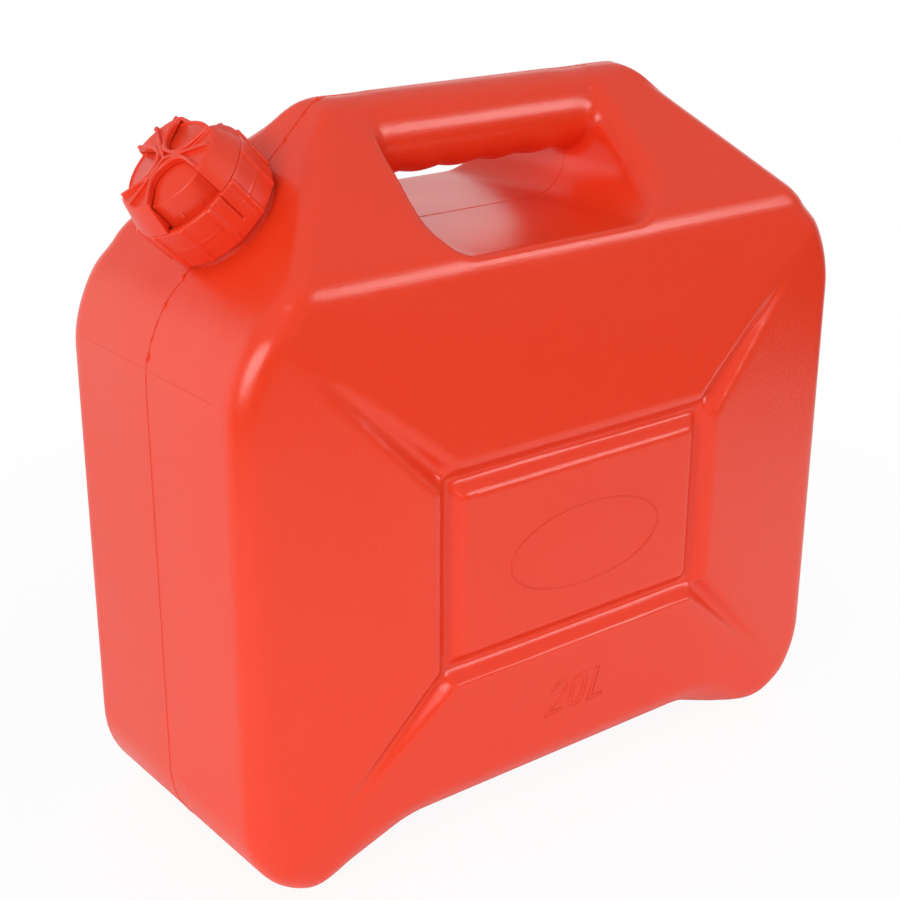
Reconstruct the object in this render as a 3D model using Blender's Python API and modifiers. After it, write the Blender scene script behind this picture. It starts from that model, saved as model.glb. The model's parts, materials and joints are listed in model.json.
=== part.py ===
"""Plastic fuel jerrycan with a capacity of 20 litres, drawn in metres with +Z up.

The tank is one hollow blow moulding that is the same on both sides of its parting plane, Y = 0.
Its chamfered top corner at -X carries the neck, whose axis leans outwards at the chamfer's angle.
The closure is a screw collar, an inner cap with its sealing washer, and a three-lobed grip.

X runs along the tank's length, measured here from its narrow side at the neck's end. The root
empty then centres the whole can, closure included, over the origin, and Z = 0 is the ground.
"""

import math

import bpy
import bmesh
from mathutils import Matrix, Vector

# Tank, overall
TANK_LENGTH = 0.396
TANK_HEIGHT = 0.3857
CORNER_DEPTH = 0.1646          # thickness across the vertical corner edges
WALL = 0.0024
CHAMFER_RUN = 0.0998           # both upper corners are cut at 45 degrees
CHAMFER_ANGLE = math.radians(45)
ROOF_ANGLE = math.radians(42.5)   # slope of the upper front and back, from the horizontal
CREASE_RADIUS = 0.0175         # rounding where the upright faces turn into the roof
RIDGE_RADIUS = 0.0216          # rounding of the roof's top, and the radius of the grip bar
EDGE_RADIUS = 0.0129          # rounding of all outer edges
SHOULDER_RADIUS = 0.0597
TOP_CORNER_RADIUS = 0.0165
BASE_CORNER_RADIUS = 0.0494
TURN_STEP = math.radians(13)  # largest facet of a rounded outline

# Feet: the base stands on both ends and arches up between them
FOOT_LENGTH = 0.0679
ARCH_START = 0.0987
ARCH_HEIGHT = 0.0154
FOOT_RADIUS = 0.0185

# Hand opening under the grip bar
OPENING_LEFT_MARGIN = 0.1152  # from the tank's sides and its top
OPENING_RIGHT_MARGIN = 0.1327
OPENING_DROP = 0.0679
OPENING_RADIUS = 0.0144
BAR_SIDES = 28
FINGER_PITCH = 0.0252
FINGER_DEPTH = 0.00185

# Raised face with its central panel, the channel round it and the four diagonal grooves
FACE_RISE = 0.0121            # how far the border stands out from the corner plane
BORDER_MARGIN = 0.1039        # from the tank's sides
BORDER_BOTTOM = 0.1003
BORDER_DROP = 0.0984          # from the eaves
CHANNEL_WIDTH = 0.0159        # border edge to panel edge
CHANNEL_DEPTH = 0.0077
CHANNEL_WALL_RUN = 0.0068
PANEL_RISE = 0.0111
GROOVE_FLOOR_HALF = 0.00125
GROOVE_SHARE = 0.66           # how far a groove runs from the border's corner to the tank's
GROOVE_OVERRUN_SHARE = 0.1

# Neck
NECK_FOOT = 0.0483            # where the neck's axis leaves the chamfer, from the narrow side
NECK_RADIUS = 0.0278
NECK_WALL = 0.0036
NECK_HEIGHT = 0.0216
NECK_SIDES = 56

# Sealing washer and inner cap, whose radii follow the neck
GAP = 0.0003                  # between pieces that rest on each other
SEAL_THICKNESS = 0.0020
SEAL_MARGIN = 0.0002          # the washer stays this far inside both edges of the neck's rim
FLANGE_THICKNESS = 0.0020
FLANGE_REACH = 0.0009         # how far the flange passes the neck
CAP_SETBACK = 0.0026          # how far the cap's wall stands behind the flange's edge
CAP_DRAFT = 0.0010
CAP_HEIGHT = 0.0157
CAP_WALL = 0.0018
CAP_STEP = 0.0005
LIP_ROUNDING = 0.0009

# Screw collar, with heights along the neck's axis from the chamfer
COLLAR_BOTTOM = 0.0057
COLLAR_TOP_THICKNESS = 0.0028
COLLAR_PLAY = 0.0005          # between the flange's edge and the collar's bore
COLLAR_WALL = 0.0032
COLLAR_DRAFT = 0.0009
COLLAR_MOUTH_PLAY = 0.0005    # between the cap's wall and the collar's mouth
COLLAR_BAND_STEP = 0.0003
COLLAR_SIDES = 72
COLLAR_RIBS = 12
RIB_WIDTH = 0.0027
RIB_RISE = 0.0012
RIB_START = 0.0019            # from the collar's lower edge
RIB_PHASE = math.radians(12)
SLIT_WIDTH = 0.0007
SLIT_START = 0.0072
SLIT_ANGLE = math.radians(267)

# Three-lobed grip
GRIP_SETBACK = 0.0002         # how far its foot stands behind the collar's upper edge
GRIP_DRAFT = 0.0042
GRIP_TOP_THICKNESS = 0.0017
GRIP_CHAMFER = 0.00135
GRIP_RIB_RISE = 0.0016
GRIP_RIB_WIDTH = 0.0017
GRIP_WALL = 0.0020
LOBES = 3
LOBE_PHASE = math.radians(180)
SCALLOP_RADIUS = 0.0108
SCALLOP_APEX = 0.0051         # least distance of a scallop's edge from the axis
SCALLOP_SPREAD = math.radians(20)
STAR_SETBACK = 0.0009         # from the grip's upper edge to the ends of its star
STAR_BEAD_RADIUS = 0.00125

OVERRUN = 0.05                # how far a cutter passes what it cuts
RED = (0.823, 0.065, 0.024, 1.0)
SEAL_BLACK = (0.018, 0.018, 0.018, 1.0)

FRONT = -CORNER_DEPTH / 2
RIDGE_CENTRE = TANK_HEIGHT - RIDGE_RADIUS
ROOF_APEX = RIDGE_CENTRE + RIDGE_RADIUS / math.cos(ROOF_ANGLE)
EAVES = ROOF_APEX - CORNER_DEPTH / 2 * math.tan(ROOF_ANGLE)
BORDER_LEFT = BORDER_MARGIN
BORDER_RIGHT = TANK_LENGTH - BORDER_MARGIN
BORDER_TOP = EAVES - BORDER_DROP
OPENING_LEFT = OPENING_LEFT_MARGIN
OPENING_RIGHT = TANK_LENGTH - OPENING_RIGHT_MARGIN
OPENING_FLOOR = TANK_HEIGHT - OPENING_DROP
BORE_RADIUS = NECK_RADIUS - NECK_WALL
SEAL_OUTER_RADIUS = NECK_RADIUS - SEAL_MARGIN
SEAL_INNER_RADIUS = BORE_RADIUS + SEAL_MARGIN
FLANGE_RADIUS = NECK_RADIUS + FLANGE_REACH
CAP_FOOT_RADIUS = FLANGE_RADIUS - CAP_SETBACK
CAP_LIP_RADIUS = CAP_FOOT_RADIUS - CAP_DRAFT
COLLAR_BORE_RADIUS = FLANGE_RADIUS + COLLAR_PLAY
COLLAR_MOUTH_RADIUS = CAP_FOOT_RADIUS + COLLAR_MOUTH_PLAY
COLLAR_TOP_RADIUS = COLLAR_BORE_RADIUS + COLLAR_WALL
COLLAR_BOTTOM_RADIUS = COLLAR_TOP_RADIUS - COLLAR_DRAFT
GRIP_FOOT_RADIUS = COLLAR_TOP_RADIUS - GRIP_SETBACK
GRIP_TOP_RADIUS = GRIP_FOOT_RADIUS - GRIP_DRAFT
SEAL_BOTTOM = NECK_HEIGHT + GAP
FLANGE_BOTTOM = SEAL_BOTTOM + SEAL_THICKNESS + GAP
FLANGE_TOP = FLANGE_BOTTOM + FLANGE_THICKNESS
CAP_TOP = FLANGE_TOP + CAP_HEIGHT
COLLAR_CEILING = FLANGE_TOP + GAP
COLLAR_TOP = COLLAR_CEILING + COLLAR_TOP_THICKNESS
GRIP_BOTTOM = COLLAR_TOP + GAP
GRIP_CEILING = CAP_TOP + GAP
GRIP_TOP = GRIP_CEILING + GRIP_TOP_THICKNESS
GRIP_BORE_RADIUS = CAP_FOOT_RADIUS + GAP
STAR_TOP = GRIP_TOP + GRIP_RIB_RISE + GAP
STAR_END = GRIP_TOP_RADIUS - STAR_SETBACK
CLOSURE_OVERHANG = (
    STAR_TOP * math.sin(CHAMFER_ANGLE) + STAR_END * math.cos(CHAMFER_ANGLE) - NECK_FOOT
)


def clear_scene():
    for found in list(bpy.data.objects):
        bpy.data.objects.remove(found, do_unlink=True)


def new_collection(name):
    collection = bpy.data.collections.new(name)
    bpy.context.scene.collection.children.link(collection)
    return collection


def material(name, colour, roughness):
    made = bpy.data.materials.new(name)
    made.use_nodes = True
    shader = made.node_tree.nodes["Principled BSDF"]
    shader.inputs["Base Color"].default_value = colour
    shader.inputs["Roughness"].default_value = roughness
    shader.inputs["Metallic"].default_value = 0.0
    made.diffuse_color = colour
    return made


def add_object(name, mesh, collection, is_cutter=False):
    made = bpy.data.objects.new(name, mesh)
    collection.objects.link(made)
    if is_cutter:
        made.hide_render = True
        made.display_type = "WIRE"
    return made


def boolean(target, tool, operation):
    modifier = target.modifiers.new(f"{operation.lower()} {tool.name}", "BOOLEAN")
    modifier.operation = operation
    modifier.solver = "EXACT"
    modifier.object = tool


def bevel(target, width, segments, least_angle):
    modifier = target.modifiers.new("rounded edges", "BEVEL")
    modifier.width = width
    modifier.segments = segments
    modifier.limit_method = "ANGLE"
    modifier.angle_limit = least_angle
    modifier.use_clamp_overlap = True


def arc_points(centre, radius, start, turn, step):
    # An odd number of facets keeps an edge off the parting plane at the ridge
    count = math.ceil(abs(turn) / step) // 2 * 2 + 1
    return [
        (
            centre[0] + radius * math.cos(start + turn * i / count),
            centre[1] + radius * math.sin(start + turn * i / count),
        )
        for i in range(count + 1)
    ]


def rounded_outline(corners, step=TURN_STEP):
    """Points of a closed outline, anticlockwise, whose corners (x, z, radius) are rounded."""
    points = []
    for i, (x, z, radius) in enumerate(corners):
        if not radius:
            points.append((x, z))
            continue
        corner = Vector((x, z))
        before = Vector(corners[i - 1][:2])
        after = Vector(corners[(i + 1) % len(corners)][:2])
        run_in = (corner - before).normalized()
        run_out = (after - corner).normalized()
        turn = math.atan2(run_in.cross(run_out), run_in.dot(run_out))
        side = math.copysign(1, turn)
        setback = radius * math.tan(abs(turn) / 2)
        normal = Vector((-run_in.y, run_in.x)) * side
        centre = corner - run_in * setback + normal * radius
        start = math.atan2(-normal.y, -normal.x)
        points += arc_points(centre, radius, start, turn, step)
    return points


def inset_corners(corners, inset):
    """The same outline drawn in by a distance, with outer radii reduced and inner ones grown."""
    drawn_in = []
    for i, (x, z, radius) in enumerate(corners):
        corner = Vector((x, z))
        run_in = (corner - Vector(corners[i - 1][:2])).normalized()
        run_out = (Vector(corners[(i + 1) % len(corners)][:2]) - corner).normalized()
        normal_in = Vector((-run_in.y, run_in.x))
        normal_out = Vector((-run_out.y, run_out.x))
        mitre = (normal_in + normal_out).normalized()
        moved = corner + mitre * (inset / mitre.dot(normal_in))
        if radius:
            radius -= math.copysign(inset, run_in.cross(run_out))
        drawn_in.append((moved.x, moved.y, radius))
    return drawn_in


def plate(name, outline, thickness, to_world, collection):
    """A flat plate: a filled curve of the outline, as thick as given, turned into a mesh."""
    curve = bpy.data.curves.new(name, "CURVE")
    curve.dimensions = "2D"
    curve.fill_mode = "BOTH"
    curve.extrude = thickness / 2
    spline = curve.splines.new("POLY")
    spline.points.add(len(outline) - 1)
    for point, (x, y) in zip(spline.points, outline):
        point.co = (x, y, 0, 1)
    spline.use_cyclic_u = True
    guide = add_object(name + " outline", curve, collection, is_cutter=True)
    bpy.context.view_layer.update()
    solid_view = guide.evaluated_get(bpy.context.evaluated_depsgraph_get())
    mesh = bpy.data.meshes.new_from_object(solid_view)
    bpy.data.objects.remove(guide, do_unlink=True)
    work = bmesh.new()
    work.from_mesh(mesh)
    bmesh.ops.remove_doubles(work, verts=work.verts, dist=GAP / 10)
    work.transform(to_world)
    bmesh.ops.recalc_face_normals(work, faces=work.faces)
    if work.calc_volume(signed=True) < 0:
        bmesh.ops.reverse_faces(work, faces=work.faces)
    work.to_mesh(mesh)
    work.free()
    return add_object(name, mesh, collection, is_cutter=True)


def block(name, place, collection):
    """A box whose eight corners go where place(i, j, k) says, for i, j and k each -1 or 1."""
    work = bmesh.new()
    bmesh.ops.create_cube(work, size=2)
    for vert in work.verts:
        vert.co = place(*(round(value) for value in vert.co))
    if work.calc_volume(signed=True) < 0:
        bmesh.ops.reverse_faces(work, faces=work.faces)
    mesh = bpy.data.meshes.new(name)
    work.to_mesh(mesh)
    work.free()
    return add_object(name, mesh, collection, is_cutter=True)


def turned(name, profile, sides, collection, is_cutter=False, closed=False):
    """A solid of revolution about local Z from a profile of (radius, height), outer side down."""
    mesh = bpy.data.meshes.new(name)
    edges = [(i, i + 1) for i in range(len(profile) - 1)]
    if closed:
        edges.append((len(profile) - 1, 0))
    mesh.from_pydata([(radius, 0, height) for radius, height in profile], edges, [])
    made = add_object(name, mesh, collection, is_cutter)
    screw = made.modifiers.new("turning", "SCREW")
    screw.steps = sides
    screw.render_steps = sides
    screw.use_merge_vertices = True
    screw.merge_threshold = GAP / 10
    screw.use_normal_calculate = False
    return made


# Local Z of the neck's frame is its axis, local X points up the chamfer, towards +X
NECK_FRAME = Matrix.Translation(
    (NECK_FOOT, 0, TANK_HEIGHT - CHAMFER_RUN + NECK_FOOT)
) @ Matrix.Rotation(-CHAMFER_ANGLE, 4, "Y")
SIDE_VIEW = Matrix(((1, 0, 0, 0), (0, 0, -1, 0), (0, 1, 0, 0), (0, 0, 0, 1)))
END_VIEW = Matrix(((0, 0, 1, 0), (1, 0, 0, 0), (0, 1, 0, 0), (0, 0, 0, 1)))


def side_corners():
    """The tank's side outline: corners (x, z, radius), anticlockwise seen from the front."""
    shoulder = TANK_HEIGHT - CHAMFER_RUN
    return [
        (0, 0, BASE_CORNER_RADIUS),
        (FOOT_LENGTH, 0, FOOT_RADIUS),
        (ARCH_START, ARCH_HEIGHT, FOOT_RADIUS),
        (TANK_LENGTH - ARCH_START, ARCH_HEIGHT, FOOT_RADIUS),
        (TANK_LENGTH - FOOT_LENGTH, 0, FOOT_RADIUS),
        (TANK_LENGTH, 0, BASE_CORNER_RADIUS),
        (TANK_LENGTH, shoulder, SHOULDER_RADIUS),
        (TANK_LENGTH - CHAMFER_RUN, TANK_HEIGHT, TOP_CORNER_RADIUS),
        (CHAMFER_RUN, TANK_HEIGHT, TOP_CORNER_RADIUS),
        (0, shoulder, SHOULDER_RADIUS),
    ]


def end_corners():
    """The tank's end outline in Y and Z: swelling faces, sloping roof and round ridge."""
    half = CORNER_DEPTH / 2
    face = half + FACE_RISE
    overrun_half = half - FACE_RISE * OVERRUN / BORDER_BOTTOM
    right = [
        (overrun_half, -OVERRUN, 0),
        (face, BORDER_BOTTOM, 0),
        (face, BORDER_TOP, 0),
        (half, EAVES, CREASE_RADIUS),
    ]
    left = [(-y, z, radius) for y, z, radius in reversed(right)]
    return right + [(0, ROOF_APEX, RIDGE_RADIUS)] + left


def plan_corners():
    """The tank's outline from above, in X and Y, which swells from both ends."""
    half = CORNER_DEPTH / 2
    face = half + FACE_RISE
    left_half = half - FACE_RISE * OVERRUN / BORDER_LEFT
    right_half = half - FACE_RISE * OVERRUN / (TANK_LENGTH - BORDER_RIGHT)
    front = [
        (-OVERRUN, -left_half, 0),
        (BORDER_LEFT, -face, 0),
        (BORDER_RIGHT, -face, 0),
        (TANK_LENGTH + OVERRUN, -right_half, 0),
    ]
    return front + [(x, -y, radius) for x, y, radius in reversed(front)]


def border_channel(name, inset, collection):
    """Cutter of the channel round the panel: a tapered block less the panel's tapered block."""
    floor = FRONT - FACE_RISE + CHANNEL_DEPTH + inset
    outside = FRONT - FACE_RISE - CHANNEL_DEPTH
    slope = CHANNEL_WALL_RUN / CHANNEL_DEPTH
    widen = inset * (math.hypot(slope, 1) - slope)

    def outer(i, j, k):
        reach = (floor - outside) * slope if j < 0 else 0
        reach += widen - CHANNEL_WALL_RUN
        x = BORDER_LEFT - reach if i < 0 else BORDER_RIGHT + reach
        z = BORDER_BOTTOM - reach if k < 0 else BORDER_TOP + reach
        return x, (outside if j < 0 else floor), z

    panel_top = FRONT - PANEL_RISE + inset
    panel_base = floor + EDGE_RADIUS

    def panel(i, j, k):
        reach = (panel_base - panel_top) * slope if j > 0 else 0
        reach -= widen
        x = BORDER_LEFT + CHANNEL_WIDTH - reach if i < 0 else BORDER_RIGHT - CHANNEL_WIDTH + reach
        z = BORDER_BOTTOM + CHANNEL_WIDTH - reach if k < 0 else BORDER_TOP - CHANNEL_WIDTH + reach
        return x, (panel_top if j < 0 else panel_base), z

    channel = block(name, outer, collection)
    boolean(channel, block(name + " panel", panel, collection), "DIFFERENCE")
    return channel


def diagonal_groove(name, at_right, at_top, inset, collection):
    """Cutter of one groove, deep at the border's corner and running out at the face's corner."""
    inner = Vector((
        BORDER_RIGHT if at_right else BORDER_LEFT,
        FRONT - FACE_RISE + CHANNEL_DEPTH + inset,
        BORDER_TOP if at_top else BORDER_BOTTOM,
    ))
    tank_corner = Vector((
        TANK_LENGTH if at_right else 0,
        FRONT + inset,
        EAVES if at_top else 0,
    ))
    crest = Vector((inner.x, FRONT - FACE_RISE + inset, inner.z))
    run_out = crest.lerp(tank_corner, GROOVE_SHARE)
    outer = inner.lerp(run_out, 1 + GROOVE_OVERRUN_SHARE)
    along = outer - inner
    run = Vector((along.x, 0, along.z)).normalized()
    across = Vector((-run.z, 0, run.x))
    slope = CHANNEL_WALL_RUN / CHANNEL_DEPTH
    widen = inset * (math.hypot(slope, 1) - slope)
    start = inner - along.normalized() * CHANNEL_WALL_RUN
    height = FACE_RISE + CHANNEL_DEPTH

    def place(i, j, k):
        centre = start if i < 0 else outer
        half = GROOVE_FLOOR_HALF + widen + (height * slope if j < 0 else 0)
        rise = Vector((0, -height, 0)) if j < 0 else Vector()
        return centre + across * (k * half) + rise

    return block(name, place, collection)


def grip_bar(name, inset, collection):
    """The round bar over the hand opening, with finger hollows along its underside."""
    length = OPENING_RIGHT - OPENING_LEFT + 4 * RIDGE_RADIUS
    middle = (OPENING_RIGHT + OPENING_LEFT) / 2
    radius = RIDGE_RADIUS - inset
    steps = round(length / FINGER_PITCH) * 6
    rings = []
    work = bmesh.new()
    for i in range(steps + 1):
        x = middle - length / 2 + length * i / steps
        hollow = FINGER_DEPTH * (1 - abs(math.sin(math.pi * (x - OPENING_LEFT) / FINGER_PITCH)))
        ring = []
        for k in range(BAR_SIDES):
            angle = 2 * math.pi * k / BAR_SIDES
            lift = hollow * max(0, -math.sin(angle)) ** 2
            y = radius * math.cos(angle)
            z = RIDGE_CENTRE + radius * math.sin(angle) + lift
            ring.append(work.verts.new((x, y, z)))
        rings.append(ring)
    for ring, following in zip(rings, rings[1:]):
        for k in range(BAR_SIDES):
            after = (k + 1) % BAR_SIDES
            work.faces.new((ring[k], ring[after], following[after], following[k]))
    work.faces.new(reversed(rings[0]))
    work.faces.new(rings[-1])
    if work.calc_volume(signed=True) < 0:
        bmesh.ops.reverse_faces(work, faces=work.faces)
    mesh = bpy.data.meshes.new(name)
    work.to_mesh(mesh)
    work.free()
    return add_object(name, mesh, collection, is_cutter=True)


def hand_opening(name, inset, collection):
    """Cutter of the hand opening, through from front to back, less the grip bar."""
    left = OPENING_LEFT - inset
    right = OPENING_RIGHT + inset
    floor = OPENING_FLOOR - inset
    touch = TANK_HEIGHT - RIDGE_RADIUS * (1 - math.cos(ROOF_ANGLE))
    radius = OPENING_RADIUS + inset
    corners = [
        (left, floor, radius),
        (right, floor, radius),
        (right, touch, radius),
        (left, touch, radius),
    ]
    opening = plate(name, rounded_outline(corners), CORNER_DEPTH + OVERRUN, SIDE_VIEW, collection)
    boolean(opening, grip_bar(name + " bar", inset, collection), "DIFFERENCE")
    return opening


def tank_form(name, inset, segments, collection):
    """The tank's shape drawn in by inset: 0 for the outside, the wall for its cavity."""
    outline = rounded_outline(inset_corners(side_corners(), inset))
    form = plate(name, outline, CORNER_DEPTH + OVERRUN, SIDE_VIEW, collection)
    length = TANK_LENGTH + OVERRUN
    centred = Matrix.Translation((TANK_LENGTH / 2, 0, 0)) @ END_VIEW
    outline = rounded_outline(inset_corners(end_corners(), inset))
    ends = plate(name + " ends", outline, length, centred, collection)
    outline = rounded_outline(inset_corners(plan_corners(), inset))
    plan = plate(name + " plan", outline, 2 * (TANK_HEIGHT + OVERRUN), Matrix(), collection)
    boolean(form, ends, "INTERSECT")
    boolean(form, plan, "INTERSECT")
    bevel(form, EDGE_RADIUS - inset, segments, math.radians(30))
    boolean(form, hand_opening(name + " opening", inset, collection), "DIFFERENCE")
    boolean(form, border_channel(name + " channel", inset, collection), "DIFFERENCE")
    for at_right in (False, True):
        for at_top in (False, True):
            groove = diagonal_groove(
                f"{name} groove {at_right:d}{at_top:d}", at_right, at_top, inset, collection
            )
            boolean(form, groove, "DIFFERENCE")
    return form


def make_tank(parts, cutters, finish):
    tank = tank_form("tank", 0, 4, parts)
    tank.hide_render = False
    tank.display_type = "TEXTURED"
    neck_foot = -(WALL + EDGE_RADIUS)
    neck = turned(
        "neck",
        [(0, NECK_HEIGHT), (NECK_RADIUS, NECK_HEIGHT), (NECK_RADIUS, neck_foot), (0, neck_foot)],
        NECK_SIDES, cutters, is_cutter=True,
    )
    neck.matrix_world = NECK_FRAME
    boolean(tank, neck, "UNION")
    boolean(tank, tank_form("cavity", WALL, 3, cutters), "DIFFERENCE")
    bore_foot = neck_foot - OVERRUN / 5
    bore_top = NECK_HEIGHT + OVERRUN
    bore = turned(
        "bore",
        [(0, bore_top), (BORE_RADIUS, bore_top), (BORE_RADIUS, bore_foot), (0, bore_foot)],
        NECK_SIDES, cutters, is_cutter=True,
    )
    bore.matrix_world = NECK_FRAME
    boolean(tank, bore, "DIFFERENCE")
    mirror = tank.modifiers.new("second half", "MIRROR")
    mirror.use_axis = (False, True, False)
    mirror.use_bisect_axis = (False, True, False)
    mirror.use_bisect_flip_axis = (False, True, False)
    mirror.merge_threshold = GAP / 10
    tank.data.materials.append(finish)
    return tank


def make_seal(parts, finish):
    top = SEAL_BOTTOM + SEAL_THICKNESS
    seal = turned(
        "seal_washer",
        [
            (SEAL_OUTER_RADIUS, top),
            (SEAL_OUTER_RADIUS, SEAL_BOTTOM),
            (SEAL_INNER_RADIUS, SEAL_BOTTOM),
            (SEAL_INNER_RADIUS, top),
        ],
        NECK_SIDES, parts, closed=True,
    )
    seal.matrix_world = NECK_FRAME
    seal.data.materials.append(finish)
    return seal


def make_inner_cap(parts, finish):
    """A hollow cap with a flange at its foot and a stepped top with a rounded lip."""
    lip = CAP_LIP_RADIUS
    lip_turn = arc_points(
        (lip - LIP_ROUNDING, CAP_TOP - CAP_STEP - LIP_ROUNDING),
        LIP_ROUNDING, math.pi / 2, -math.pi / 2, math.radians(30),
    )
    groove = lip - 2 * LIP_ROUNDING
    steps = [(lip * share, CAP_TOP - CAP_STEP * drop) for share, drop in CAP_STEP_SHARES]
    ceiling = CAP_TOP - CAP_WALL - 2 * CAP_STEP
    profile = [(0, CAP_TOP)] + steps
    profile += [(groove, CAP_TOP - 2 * CAP_STEP), (groove + LIP_ROUNDING / 2, CAP_TOP - 2 * CAP_STEP)]
    profile += lip_turn
    profile += [
        (CAP_FOOT_RADIUS, FLANGE_TOP),
        (FLANGE_RADIUS, FLANGE_TOP),
        (FLANGE_RADIUS, FLANGE_BOTTOM),
        (CAP_FOOT_RADIUS - CAP_WALL, FLANGE_BOTTOM),
        (lip - CAP_WALL, ceiling),
        (0, ceiling),
    ]
    cap = turned("inner_cap", profile, NECK_SIDES, parts)
    cap.matrix_world = NECK_FRAME
    cap.data.materials.append(finish)
    return cap


# Radius shares of the lip and drops in steps, for the fine rings on the inner cap's top
CAP_STEP_SHARES = ((0.62, 0), (0.64, 0.5), (0.78, 0.5), (0.80, 1))


def make_collar(parts, cutters, finish):
    """The screw collar: a slightly tapered ring with a top plate, ribs and one slit."""
    half = (COLLAR_TOP + COLLAR_BOTTOM) / 2
    middle_radius = (COLLAR_TOP_RADIUS + COLLAR_BOTTOM_RADIUS) / 2
    collar = turned(
        "screw_collar",
        [
            (COLLAR_TOP_RADIUS, COLLAR_TOP),
            (middle_radius, half + COLLAR_BAND_STEP),
            (middle_radius - COLLAR_BAND_STEP, half),
            (COLLAR_BOTTOM_RADIUS - COLLAR_BAND_STEP, COLLAR_BOTTOM),
            (COLLAR_BORE_RADIUS, COLLAR_BOTTOM),
            (COLLAR_BORE_RADIUS, COLLAR_CEILING),
            (COLLAR_MOUTH_RADIUS, COLLAR_CEILING),
            (COLLAR_MOUTH_RADIUS, COLLAR_TOP),
        ],
        COLLAR_SIDES, parts, closed=True,
    )
    collar.matrix_world = NECK_FRAME
    rib_base = (COLLAR_BORE_RADIUS + COLLAR_BOTTOM_RADIUS) / 2
    rib_bottom = COLLAR_BOTTOM + RIB_START
    draft = (COLLAR_TOP_RADIUS - COLLAR_BOTTOM_RADIUS) / (COLLAR_TOP - COLLAR_BOTTOM)
    for index in range(COLLAR_RIBS):
        turn = Matrix.Rotation(RIB_PHASE + 2 * math.pi * index / COLLAR_RIBS, 4, "Z")

        def place(i, j, k):
            top = COLLAR_TOP - GAP
            z = rib_bottom if k < 0 else top
            crown = COLLAR_TOP_RADIUS + RIB_RISE - draft * (top - z)
            width = RIB_WIDTH if i < 0 else RIB_WIDTH - RIB_RISE
            return turn @ Vector((rib_base if i < 0 else crown, j * width / 2, z))

        rib = block(f"collar rib {index + 1}", place, cutters)
        rib.matrix_world = NECK_FRAME
        boolean(collar, rib, "UNION")

    turn = Matrix.Rotation(SLIT_ANGLE, 4, "Z")

    def slit_place(i, j, k):
        x = rib_base if i < 0 else COLLAR_TOP_RADIUS + OVERRUN
        z = COLLAR_TOP + OVERRUN if k > 0 else COLLAR_BOTTOM + SLIT_START
        return turn @ Vector((x, j * SLIT_WIDTH / 2, z))

    slit = block("collar slit", slit_place, cutters)
    slit.matrix_world = NECK_FRAME
    boolean(collar, slit, "DIFFERENCE")
    collar.data.materials.append(finish)
    return collar


def scallop_outline(grow):
    """Outline of one scallop, opening towards local +X, with its edge moved out by grow."""
    radius = SCALLOP_RADIUS + grow
    centre = SCALLOP_APEX + SCALLOP_RADIUS
    mouth = GRIP_FOOT_RADIUS + OVERRUN / 5
    half = radius / math.cos(SCALLOP_SPREAD) + (mouth - centre) * math.tan(SCALLOP_SPREAD)
    start = math.pi / 2 + SCALLOP_SPREAD
    arc = arc_points((centre, 0), radius, start, math.tau - 2 * start, TURN_STEP)
    return [(mouth, -half), (mouth, half)] + arc


def star_outline():
    """Outline of the rib with three arms, each ending in a round bead over a lobe."""
    points = []
    opening = math.asin(GRIP_RIB_WIDTH / 2 / STAR_BEAD_RADIUS)
    crotch = GRIP_RIB_WIDTH / 2 / math.sin(math.pi / LOBES)
    for index in range(LOBES):
        turn = LOBE_PHASE + math.tau * index / LOBES
        reach = STAR_END - STAR_BEAD_RADIUS
        centre = (reach * math.cos(turn), reach * math.sin(turn))
        start = turn - math.pi + opening
        sweep = math.tau - 2 * opening
        points += arc_points(centre, STAR_BEAD_RADIUS, start, sweep, math.radians(45))
        between = turn + math.pi / LOBES
        points.append((crotch * math.cos(between), crotch * math.sin(between)))
    return points


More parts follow.
